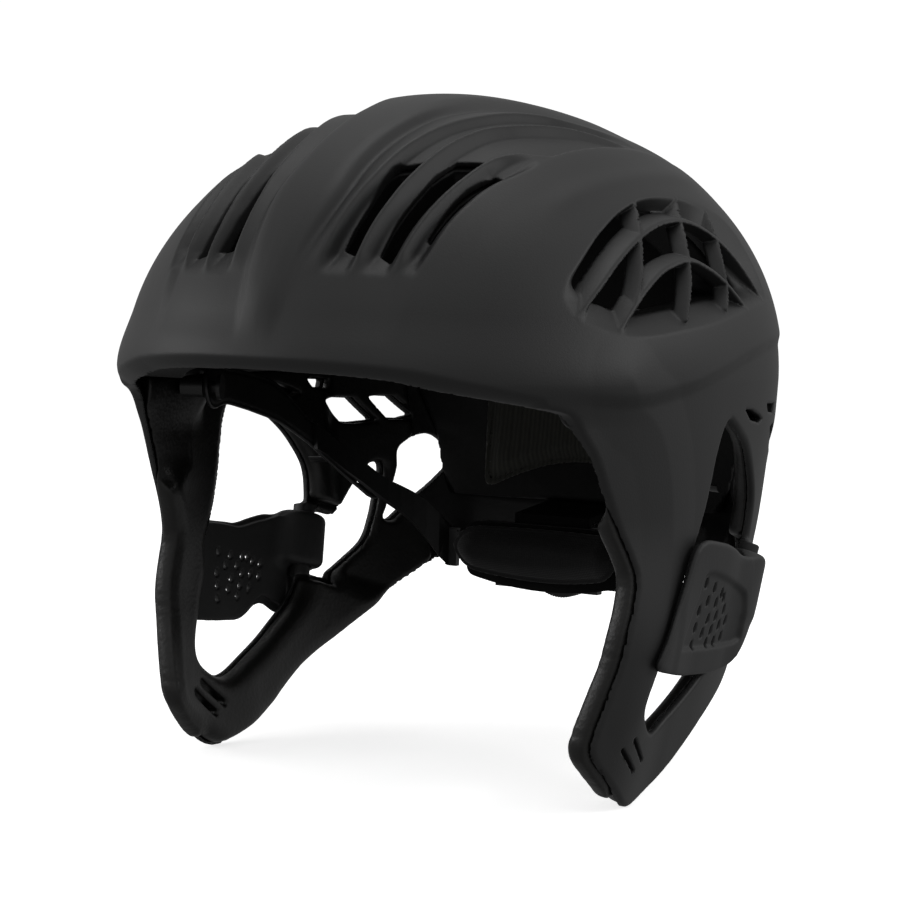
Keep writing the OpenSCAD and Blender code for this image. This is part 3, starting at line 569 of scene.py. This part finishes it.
def tidy(f, V, T, E, rounds=8):
    """Smooths away the few faces that fold over near sharp edges."""
    cand = np.arange(len(T))
    for _ in range(rounds):
        t = T[cand]
        c = V[t].mean(1)
        n = np.cross(V[t[:, 2]] - V[t[:, 0]], V[t[:, 3]] - V[t[:, 1]]) if T.shape[1] == 4 else np.cross(V[t[:, 1]] - V[t[:, 0]], V[t[:, 2]] - V[t[:, 0]])
        g = gradient(f, c)
        d = (n * g).sum(1) / np.maximum(np.linalg.norm(n, axis=1) * np.linalg.norm(g, axis=1), 1e-9)
        bad = t[d < -0.1]
        if not len(bad):
            break
        flag = np.zeros(len(V), bool)
        flag[bad.ravel()] = True
        on = flag[E[:, 0]] | flag[E[:, 1]]
        e = E[on]
        cnt = np.bincount(e[:, 0], minlength=len(V)) + np.bincount(e[:, 1], minlength=len(V))
        avg = np.stack([np.bincount(e[:, 0], V[e[:, 1], k], len(V)) + np.bincount(e[:, 1], V[e[:, 0], k], len(V)) for k in range(3)], 1)
        flag &= cnt > 0
        V[flag] = 0.3 * V[flag] + 0.7 * avg[flag] / cnt[flag, None]
        cand = np.where(flag[T].any(1))[0]
    return V


def gradient(f, V, e=0.2):
    G = np.empty_like(V)
    for ax in range(3):
        d = np.zeros(3)
        d[ax] = e
        G[:, ax] = (f(V + d) - f(V - d)) / (2 * e)
    return G


def project(f, V, h, steps):
    for _ in range(steps):
        g = gradient(f, V)
        d = f(V)[:, None] * g / np.maximum((g * g).sum(1), 0.05)[:, None]
        L = np.linalg.norm(d, axis=1)[:, None]
        V = V - d * np.minimum(1, 0.45 * h / np.maximum(L, 1e-9))
    return V


def to_m(V):
    return (np.asarray(V, float) + [0, YOFF, LIFT]) / 1000.0


def make(name, V, faces, mats, body, smooth=True):
    """Mesh object from points in the work frame."""
    me = bpy.data.meshes.new(name)
    me.from_pydata(to_m(V).tolist(), [], [list(map(int, q)) for q in faces])
    me.validate()
    me.update()
    if smooth:
        me.shade_smooth()
    o = bpy.data.objects.new(name, me)
    bpy.context.scene.collection.objects.link(o)
    for mt in mats if isinstance(mats, (list, tuple)) else [mats]:
        me.materials.append(mt)
    if body:
        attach(o, body)
    return o


def evaluated(o, mod):
    """Applies the one modifier on o."""
    dg = bpy.context.evaluated_depsgraph_get()
    me = bpy.data.meshes.new_from_object(o.evaluated_get(dg))
    o.modifiers.remove(mod)
    old = o.data
    o.data = me
    bpy.data.meshes.remove(old)
    me.name = o.name


def from_sdf(name, f, lo, hi, h, mats, body, sym=False, keep=1.0, steps=2, normals=True):
    V, Q = surface(f, lo, hi, h, sym, steps)
    o = make(name, V, Q, mats, body)
    if keep < 1:
        d = o.modifiers.new("d", "DECIMATE")
        d.ratio = keep
        evaluated(o, d)
        bpy.context.view_layer.update()
        me = o.data
        co = np.empty(len(me.vertices) * 3)
        me.vertices.foreach_get("co", co)
        V = co.reshape(-1, 3) * 1000 - [0, YOFF, LIFT]
        me.calc_loop_triangles()
        T = np.empty(len(me.loop_triangles) * 3, np.int32)
        me.loop_triangles.foreach_get("vertices", T)
        T = T.reshape(-1, 3)
        V = tidy(f, V, T, np.concatenate([T[:, [0, 1]], T[:, [1, 2]], T[:, [2, 0]]]), 10)
        me.vertices.foreach_set("co", to_m(V).ravel())
        me.update()
        me.shade_smooth()
    if normals:
        me = o.data
        co = np.empty(len(me.vertices) * 3)
        me.vertices.foreach_get("co", co)
        g = gradient(f, co.reshape(-1, 3) * 1000 - [0, YOFF, LIFT], 0.35)
        g /= np.maximum(np.linalg.norm(g, axis=1), 1e-9)[:, None]
        me.normals_split_custom_set_from_vertices(g.tolist())
    return o


# ------------------------------------------------------------------ materials
def lin(c):
    return tuple((v / 12.92 if v <= 0.04045 else ((v + 0.055) / 1.055) ** 2.4) for v in c)


def material(name, dark, light, rough=0.6, rough_var=0.08, grain=900.0, bump=0.15, patch=14.0, spec=0.4, sheen=0.0, kind="noise", coat=0.0,
             dist=0.0004):
    """Procedural material: two-tone mottling, fine grain bump and a roughness that varies."""
    mt = bpy.data.materials.new(name)
    mt.use_nodes = True
    nt = mt.node_tree
    N, L = nt.nodes, nt.links
    N.clear()
    out = N.new("ShaderNodeOutputMaterial")
    b = N.new("ShaderNodeBsdfPrincipled")
    L.new(b.outputs["BSDF"], out.inputs["Surface"])
    tc = N.new("ShaderNodeTexCoord")
    big = N.new("ShaderNodeTexNoise")
    big.inputs["Scale"].default_value = patch
    big.inputs["Detail"].default_value = 4
    L.new(tc.outputs["Object"], big.inputs["Vector"])
    ramp = N.new("ShaderNodeMix")
    ramp.data_type = "RGBA"
    ramp.inputs["A"].default_value = (*lin(dark), 1)
    ramp.inputs["B"].default_value = (*lin(light), 1)
    L.new(ramp.outputs["Result"], b.inputs["Base Color"])
    fine = N.new("ShaderNodeTexNoise")
    fine.inputs["Scale"].default_value = grain
    fine.inputs["Detail"].default_value = 3
    L.new(tc.outputs["Object"], fine.inputs["Vector"])
    src = fine.outputs["Fac"]
    if kind == "weave":
        wa, wb = N.new("ShaderNodeTexWave"), N.new("ShaderNodeTexWave")
        for w, d in ((wa, "X"), (wb, "Z")):
            w.wave_type = "BANDS"
            w.bands_direction = d
            w.inputs["Scale"].default_value = grain
            w.inputs["Distortion"].default_value = 0.6
            w.inputs["Detail"].default_value = 1
            L.new(tc.outputs["Object"], w.inputs["Vector"])
        mx = N.new("ShaderNodeMath")
        mx.operation = "MAXIMUM"
        L.new(wa.outputs["Fac"], mx.inputs[0])
        L.new(wb.outputs["Fac"], mx.inputs[1])
        src = mx.outputs[0]
    elif kind == "ribs":
        wa = N.new("ShaderNodeTexWave")
        wa.wave_type = "BANDS"
        wa.bands_direction = "X"
        wa.inputs["Scale"].default_value = grain
        wa.inputs["Distortion"].default_value = 0.8
        wa.inputs["Detail"].default_value = 1
        L.new(tc.outputs["Object"], wa.inputs["Vector"])
        src = wa.outputs["Fac"]
    elif kind == "foam":
        vo = N.new("ShaderNodeTexVoronoi")
        vo.inputs["Scale"].default_value = grain
        L.new(tc.outputs["Object"], vo.inputs["Vector"])
        src = vo.outputs["Distance"]
    mixf = N.new("ShaderNodeMath")
    mixf.operation = "MULTIPLY_ADD"
    L.new(src, mixf.inputs[0])
    mixf.inputs[1].default_value = 0.45
    add = N.new("ShaderNodeMath")
    add.operation = "MULTIPLY"
    L.new(big.outputs["Fac"], add.inputs[0])
    add.inputs[1].default_value = 0.55
    L.new(add.outputs[0], mixf.inputs[2])
    L.new(mixf.outputs[0], ramp.inputs["Factor"])
    rr = N.new("ShaderNodeMapRange")
    rr.inputs["To Min"].default_value = rough - rough_var
    rr.inputs["To Max"].default_value = rough + rough_var
    L.new(big.outputs["Fac"], rr.inputs["Value"])
    L.new(rr.outputs["Result"], b.inputs["Roughness"])
    bm = N.new("ShaderNodeBump")
    bm.inputs["Strength"].default_value = bump
    bm.inputs["Distance"].default_value = dist
    L.new(src, bm.inputs["Height"])
    L.new(bm.outputs["Normal"], b.inputs["Normal"])
    b.inputs["Specular IOR Level"].default_value = spec
    if sheen:
        b.inputs["Sheen Weight"].default_value = sheen
        b.inputs["Sheen Roughness"].default_value = 0.4
    if coat:
        b.inputs["Coat Weight"].default_value = coat
        b.inputs["Coat Roughness"].default_value = 0.25
    return mt


M_SHELL = material("shell_plastic", (0.052, 0.053, 0.054), (0.072, 0.073, 0.074), 0.56, 0.04, 1400, 0.10, 9, 0.5)
M_SHELL_IN = material("shell_inside", (0.045, 0.045, 0.046), (0.06, 0.06, 0.062), 0.27, 0.05, 1400, 0.05, 9, 0.5)
M_FOAM = material("molded_foam", (0.045, 0.043, 0.040), (0.068, 0.065, 0.061), 0.42, 0.06, 700, 0.18, 20, 0.4, kind="foam")
# dome foam kept far darker than the cheek foam: painted shade for the deep hollow inside the dome
M_LINER_SHADED = material("dome_foam", (0.018, 0.018, 0.018), (0.03, 0.03, 0.03), 0.6, 0.06, 700, 0.18, 20, 0.25, kind="foam")
# near-black plastic: its darkness is painted shade for the interior hard parts that sit in the shell's shadow
M_SHADE_PLASTIC = material("plastic_painted_shade", (0.014, 0.014, 0.014), (0.02, 0.02, 0.02), 0.8, 0.05, 900, 0.08, 12, 0.15)
M_PAD = material("pad_fabric", (0.02, 0.02, 0.022), (0.042, 0.042, 0.044), 0.8, 0.05, 420, 0.35, 30, 0.3, sheen=0.15, kind="weave")
M_REAR = material("rear_fabric", (0.17, 0.173, 0.16), (0.26, 0.26, 0.24), 0.85, 0.05, 180, 0.5, 40, 0.3, sheen=0.2, kind="ribs", dist=0.0003)
M_STRAP = material("strap_nylon", (0.06, 0.06, 0.062), (0.085, 0.085, 0.087), 0.4, 0.05, 900, 0.08, 12, 0.45)
M_DIAL = material("dial_plastic", (0.05, 0.05, 0.05), (0.07, 0.07, 0.07), 0.45, 0.06, 1100, 0.12, 16, 0.4)
M_RUBBER = material("cover_rubber", (0.085, 0.086, 0.087), (0.115, 0.116, 0.118), 0.6, 0.04, 1200, 0.12, 12, 0.48)
M_STEEL = material("screw_steel", (0.42, 0.42, 0.43), (0.55, 0.55, 0.56), 0.35, 0.08, 600, 0.1, 60, 0.5)
M_STEEL.node_tree.nodes["Principled BSDF"].inputs["Metallic"].default_value = 1.0

# ------------------------------------------------------------------ pieces
shell = from_sdf("shell", f_shell, (0, -142, -146), (110, 134, 104), H, [M_SHELL, M_SHELL_IN], "helmet", sym=True, keep=0.45 if H < 1 else 1.0)
me = shell.data
cen = np.empty(len(me.polygons) * 3)
me.polygons.foreach_get("center", cen)
cen = cen.reshape(-1, 3) * 1000 - [0, YOFF, LIFT]
inner = np.abs(dome(cen, 3.0) + extra(cen) - thin_edge(cen)) < 0.3
me.polygons.foreach_set("material_index", inner.astype(np.int32))
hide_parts("outer_shell")

foam = from_sdf("dome_foam", f_domefoam, (0, -136, -60), (106, 132, 100), H * 1.35, M_LINER_SHADED, "helmet", sym=True)
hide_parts("dome_liner")

V, Q = surface(f_armfoam, (45, -82, -143), (106, 92, -2), H)
for s, nm in ((1, "left"), (-1, "right")):
    W = V * [s, 1, 1]
    o = make("arm_foam_" + nm, W, Q if s > 0 else Q[:, ::-1], M_FOAM, "helmet")
    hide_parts("arm_liner_" + nm)

V, Q = surface(f_cover, (66, -44, -108), (108, 52, -48), 0.7 if H < 1 else 0.9)
for s, nm in ((1, "left"), (-1, "right")):
    W = V * [s, 1, 1]
    if s < 0:
        # the right flap hangs a little lower in front and is drawn up at its rear lower corner
        t_, rho_ = along(W)
        k_ = sm((rho_ - 6) / 18)
        W[:, 2] -= 8.5 * k_ * sm((24 - W[:, 1]) / 22) * np.clip((W[:, 2] + 98) / 46, 0, 1)
        W[:, 2] += 13 * k_ * sm((W[:, 1] + 4) / 26) * np.clip((-68 - W[:, 2]) / 30, 0, 1)
    o = make("ear_flap_" + nm, W, Q if s > 0 else Q[:, ::-1], M_RUBBER, None)
    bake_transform(o)
    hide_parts("ear_cover_" + nm)



# ------------------------------------------------------------------ fabric pads inside the shell
def pillow(P, reg, o0, o1, soft, groove, hem=2.2):
    """Padded layer between depths o0 and o1 of the dome: full in the middle, thin at the sewn edge, with a flat hem."""
    so, si = dome(P, o0), dome(P, o1)
    thin = (o1 - o0 - 1.6) * (1 - sm(-reg / soft)) ** 1.5
    f = smax(smax(so, -si + thin + groove, 1.2), reg, 2.0)
    brim = smax(smax(so, -dome(P, o0 + 1.3), 0.6), reg - hem, 0.7)
    stitch = 0.35 * np.exp(-((reg - 0.3) / 0.5) ** 2)
    return smin(f, brim + stitch, 0.4)


def plan_angle(P):
    return np.degrees(np.arctan2(np.abs(P[:, 0]), -(P[:, 1] - YC)))


def f_brow(P):
    a = plan_angle(P)
    reg = smax((a - 38) * 1.8, np.abs(P[:, 2] - 23) - 7.5, 7.0)
    g = 1.3 * np.exp(-(((a % 13.0) - 6.5) * 1.8 / 1.1) ** 2)
    return np.maximum(pillow(P, reg, 23.0, 28.0, 6.0, g), P[:, 1] + 20)


def f_temple(P):
    a = plan_angle(P)
    reg = smax((np.abs(a - 85) - 25.5) * 1.6, np.abs(P[:, 2] - 13) - 8.5, 8.0)
    u, v = (a - 85) * 1.6, P[:, 2] - 13
    g = 1.2 * np.exp(-(np.abs(((u + v) % 15.0) - 7.5) / 1.1) ** 2) + 1.2 * np.exp(-(np.abs(((u - v) % 15.0) - 7.5) / 1.1) ** 2)
    return pillow(P, reg, 23.0, 28.0, 6.0, g)


def f_rear(P):
    a = plan_angle(P)
    low = -36 - 15.5 * (np.abs(P[:, 0]) / 43) ** 2
    reg = smax((158 - a) * 1.9, smax(P[:, 2] - 2, low - P[:, 2], 4.0), 6.0)
    g = 0.14 + 0.14 * np.cos(2 * np.pi * P[:, 0] / 3.2)
    return np.maximum(pillow(P, reg, 23.0, 27.4, 6.0, g), 20 - P[:, 1])


def f_crown(P):
    x, y = np.abs(P[:, 0]) - 18, np.abs(P[:, 1] - 8) - 31
    reg = np.hypot(np.maximum(x, 0), np.maximum(y, 0)) + np.minimum(np.maximum(x, y), 0) - 10
    g = 1.4 * np.exp(-((np.abs(P[:, 0]) - 12) / 1.1) ** 2) + 1.4 * np.exp(-(np.abs((P[:, 1] - 8) % 26.0 - 13) / 1.1) ** 2)
    return np.maximum(pillow(P, reg, 23.0, 28.0, 7.0, g), 20 - P[:, 2])


def f_nape(P):
    x, z = P[:, 0], P[:, 2]
    r = np.hypot(x, P[:, 1] + 23.9)
    low = -82.5 + 7.5 * (x / 44) ** 2
    u, v = np.abs(x) - 26, np.maximum(z + 63.5, low + 1.0 - z) + 8
    reg = np.hypot(np.maximum(u, 0), np.maximum(v, 0)) + np.minimum(np.maximum(u, v), 0) - 8
    thin = 3.6 * (1 - sm(-reg / 8.0)) ** 1.6
    f = smax(smax(r - 89.8, 83.2 + thin - r, 2.5), reg, 3.0)
    hem = smax(np.abs(r - 88.9) - 0.8, reg - 1.2, 0.8)
    f = smin(f, hem, 0.8)
    return np.maximum(f, 30 - P[:, 1])


def pad(name, f, lo, hi, mat, node, h=1.0):
    o = from_sdf(name, f, lo, hi, h * (1.0 if H < 1 else 1.4), mat, "helmet")
    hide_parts(node)
    return o


pad("brow_cushion", f_brow, (-76, -114, 8), (76, -50, 38), M_PAD, "brow_pad")
pad("crown_cushion", f_crown, (-36, -40, 52), (36, 58, 76), M_PAD, "crown_pad")
pad("rear_cushion", f_rear, (-52, 78, -58), (52, 112, 10), M_REAR, "rear_pad", 0.8)
pad("nape_cushion", f_nape, (-38, 40, -88), (38, 70, -58), M_PAD, "nape_pad", 0.8)
V, Q = surface(f_temple, (50, -60, -4), (90, 50, 38), 1.0 if H < 1 else 1.4)
for s, nm in ((1, "left"), (-1, "right")):
    o = make("temple_cushion_" + nm, V * [s, 1, 1], Q if s > 0 else Q[:, ::-1], M_PAD, "helmet")
    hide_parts("temple_pad_" + nm)

# knurled dial: fine teeth round the rim, a turned-in face and a finger groove
RY = 70.0
prf = [(0.0, 18.2), (7.0, 18.2), (8.6, 17.6), (9.4, 17.6), (11.0, 18.4), (13.2, 18.4), (14.3, 17.6), (15.0, 16.4), (15.0, 10.4), (14.4, 9.4), (12.5, 9.0), (5.2, 9.0)]
NT = 84
DV, DF = [], []
for i_, (r_, y_) in enumerate(prf):
    for k_ in range(NT * 4):
        a_ = 2 * math.pi * k_ / (NT * 4)
        cut = 0.42 * (1 if k_ % 4 < 2 else 0) if r_ > 14 else 0.0
        rr_ = max(r_ - cut, 0.3)
        DV.append((rr_ * math.cos(a_), RY + y_, -75 + rr_ * math.sin(a_)))
for i_ in range(len(prf) - 1):
    for k_ in range(NT * 4):
        a_, b_ = i_ * NT * 4 + k_, i_ * NT * 4 + (k_ + 1) % (NT * 4)
        DF.append((a_, a_ + NT * 4, b_ + NT * 4, b_))
DF.append(tuple(range(NT * 4)))
DF.append(tuple(range((len(prf) - 1) * NT * 4, len(prf) * NT * 4))[::-1])
knob = make("dial_knob", DV, DF, M_DIAL, "dial", smooth=False)
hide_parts("fit_dial")

# head band: two straps with a slot each, and the wings that slide along them
BAND = [(-61.5, -8), (-59, -13.5), (-52, -16), (-39.9, -15), (-27.2, -16.8), (-14.7, -19.4), (0.7, -23.6), (16.2, -31.2), (25.3, -37.6), (41.1, -48.6), (48, -53.6), (51.8, -53.4),
        (52.6, -49), (50, -45.0), (46.6, -41.7), (38.7, -34.9), (25.5, -26), (16.8, -20.4), (10.7, -15.7), (2.5, -10.3), (-6.7, -6.3),
        (-22.9, -3.4), (-40, -1.5), (-52, -0.2), (-59, -2.6)]
S_BAND = GS.poly(cr(BAND, 4))
S_BSLOT = GS.line(np.array([(25.5, -31.2), (34, -37.6), (43.5, -45.6)]))


def f_band(P):
    x, y, z = np.abs(P[:, 0]), P[:, 1], P[:, 2]
    reg = GS.at(S_BAND, y, z)
    edge = 0.35 * np.exp(-((reg + 1.3) / 0.5) ** 2)
    f = smax(smax(dome(P, 23.8), -dome(P, 25.5) + edge, 0.3), reg, 0.9)
    f = smax(f, 2.1 - GS.at(S_BSLOT, y, z), 0.5)
    return np.maximum(f, 30 - x)


V, Q = surface(f_band, (44, -66, -60), (84, 56, 4), 0.6 if H < 1 else 0.9)
for s, nm in ((1, "left"), (-1, "right")):
    o = make("head_band_" + nm, V * [s, 1, 1], Q if s > 0 else Q[:, ::-1], M_STRAP, "helmet")
    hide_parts("side_strap_" + nm)
for nm in ("left", "right"):
    src = NODES["fit_wing_" + nm]
    me = src.data
    co = np.array([tuple(src.matrix_world @ v.co) for v in me.vertices]) * 1000 - [0, YOFF, LIFT]
    p = plan_angle(co)
    f_ = np.clip((p - 106) / 43.5, 0, 1)
    on = np.abs(co[:, 0]) > 43.8
    zc = -30 - 44 * f_**1.7
    zt = np.interp(co[:, 1], [20, 24, 41, 48, 57, 61, 67, 74], [-29, -31.5, -42.3, -48, -55.3, -59.5, -64.7, -71])
    b = 1 - sm((f_ - 0.55) / 0.42)
    z2 = zc + (zt - zc) * b + (co[:, 2] - zc) * (0.56 + 0.4 * (1 - b))
    co[:, 2] = np.where(on, z2, co[:, 2])
    o = make("slide_wing_" + nm, co, [tuple(q.vertices) for q in me.polygons], M_STRAP, "wing_" + nm, smooth=False)
    bv = o.modifiers.new("b", "BEVEL")
    bv.width, bv.segments, bv.limit_method, bv.angle_limit = 0.0004, 2, "ANGLE", math.radians(50)
    evaluated(o, bv)
    o.data.shade_smooth()
    o.data.set_sharp_from_angle(angle=math.radians(40))
    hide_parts("fit_wing_" + nm)

# CAD nodes kept as they are, with a finish each; the near-black plastic on the cradle hanger and cradle cover is
# painted shade for the dark inside of the shell
for n, mt in (("cradle_screws", M_STEEL), ("dial_screw", M_STEEL), ("detent_spring", M_STEEL), ("dial_pinion", M_DIAL), ("cradle_hanger", M_SHADE_PLASTIC),
              ("strap_rivets", M_STRAP), ("cradle_body", M_STRAP), ("cradle_cover", M_SHADE_PLASTIC)):
    d = NODES[n].data
    d.materials.clear()
    d.materials.append(mt)

# ------------------------------------------------------------------ stage, light and camera

def emissive_plane(name, loc, target, size, power, shape="RECTANGLE", size_y=None):
    L = bpy.data.lights.new(name, "AREA")
    L.shape = shape
    L.size = size
    if size_y:
        L.size_y = size_y
    L.energy = power
    o = bpy.data.objects.new(name, L)
    bpy.context.scene.collection.objects.link(o)
    o.location = loc
    o.rotation_euler = (Vector(target) - Vector(loc)).to_track_quat("-Z", "Y").to_euler()
    return o


FLOOR_Z = -0.2066
n = 48
fv = [(0, 0, FLOOR_Z)] + [(1.6 * math.cos(2 * math.pi * i / n), 1.6 * math.sin(2 * math.pi * i / n), FLOOR_Z) for i in range(n)]
ff = [(0, i + 1, (i + 1) % n + 1) for i in range(n)]
fm = bpy.data.meshes.new("floor")
fm.from_pydata(fv, [], ff)
floor = bpy.data.objects.new("floor", fm)
bpy.context.scene.collection.objects.link(floor)
M_FLOOR = material("floor_paper", (0.93, 0.93, 0.93), (0.95, 0.95, 0.95), 0.85, 0.03, 60, 0.02, 3, 0.2)
fb = M_FLOOR.node_tree.nodes["Principled BSDF"]
fb.inputs["Emission Color"].default_value = (1, 1, 1, 1)
fb.inputs["Emission Strength"].default_value = 0.72
fm.materials.append(M_FLOOR)
# the floor only carries the shadow: the object is lit by the even surroundings, as in the photograph
floor.visible_glossy = False
floor.visible_diffuse = False

world = bpy.data.worlds.new("studio")
bpy.context.scene.world = world
world.use_nodes = True
wn = world.node_tree.nodes
bg = wn["Background"]
bg.inputs["Color"].default_value = (1, 1, 1, 1)
wt, wsep, wmap = wn.new("ShaderNodeTexCoord"), wn.new("ShaderNodeSeparateXYZ"), wn.new("ShaderNodeMapRange")
world.node_tree.links.new(wt.outputs["Generated"], wsep.inputs[0])
world.node_tree.links.new(wsep.outputs["Z"], wmap.inputs["Value"])
wmap.inputs["From Min"].default_value, wmap.inputs["From Max"].default_value = -0.7, 0.5
wmap.inputs["To Min"].default_value, wmap.inputs["To Max"].default_value = 0.24, 0.5
world.node_tree.links.new(wmap.outputs["Result"], bg.inputs["Strength"])
white = wn.new("ShaderNodeBackground")
white.inputs["Color"].default_value = (1, 1, 1, 1)
white.inputs["Strength"].default_value = 1.05
path, wmix = wn.new("ShaderNodeLightPath"), wn.new("ShaderNodeMixShader")
world.node_tree.links.new(path.outputs["Is Camera Ray"], wmix.inputs[0])
world.node_tree.links.new(bg.outputs[0], wmix.inputs[1])
world.node_tree.links.new(white.outputs[0], wmix.inputs[2])
world.node_tree.links.new(wmix.outputs[0], wn["World Output"].inputs["Surface"])

emissive_plane("rim", (1.7, 0.95, 0.75), (0, 0, -0.05), 1.0, 8)
emissive_plane("key", (0.55, -1.5, 1.5), (0, 0, -0.05), 1.2, 3)
emissive_plane("fill", (-1.5, -0.9, 0.5), (0, 0, -0.1), 1.2, 7)
emissive_plane("top", (0, 0.4, 1.7), (0, 0, -0.05), 1.4, 7)

bpy.context.scene.view_settings.view_transform = "Standard"

cam = bpy.data.cameras.new("camera")
cam.sensor_width = 36
cam.lens = 2300 * 36 / 900
co = bpy.data.objects.new("camera", cam)
bpy.context.scene.collection.objects.link(co)
az, el, roll = math.radians(29.47), math.radians(3.98), math.radians(1.69)
back = Vector((math.sin(az) * math.cos(el), -math.cos(az) * math.cos(el), math.sin(el)))
right = Vector((math.cos(az), math.sin(az), 0))
up = back.cross(right)
r2 = math.cos(roll) * right + math.sin(roll) * up
u2 = -math.sin(roll) * right + math.cos(roll) * up
eye = Vector((0, -0.00665, -0.09421)) + back * 0.81326
co.matrix_world = Matrix(((r2.x, u2.x, back.x, eye.x), (r2.y, u2.y, back.y, eye.y), (r2.z, u2.z, back.z, eye.z), (0, 0, 0, 1)))
cam.clip_start, cam.clip_end = 0.05, 30
bpy.context.scene.camera = co
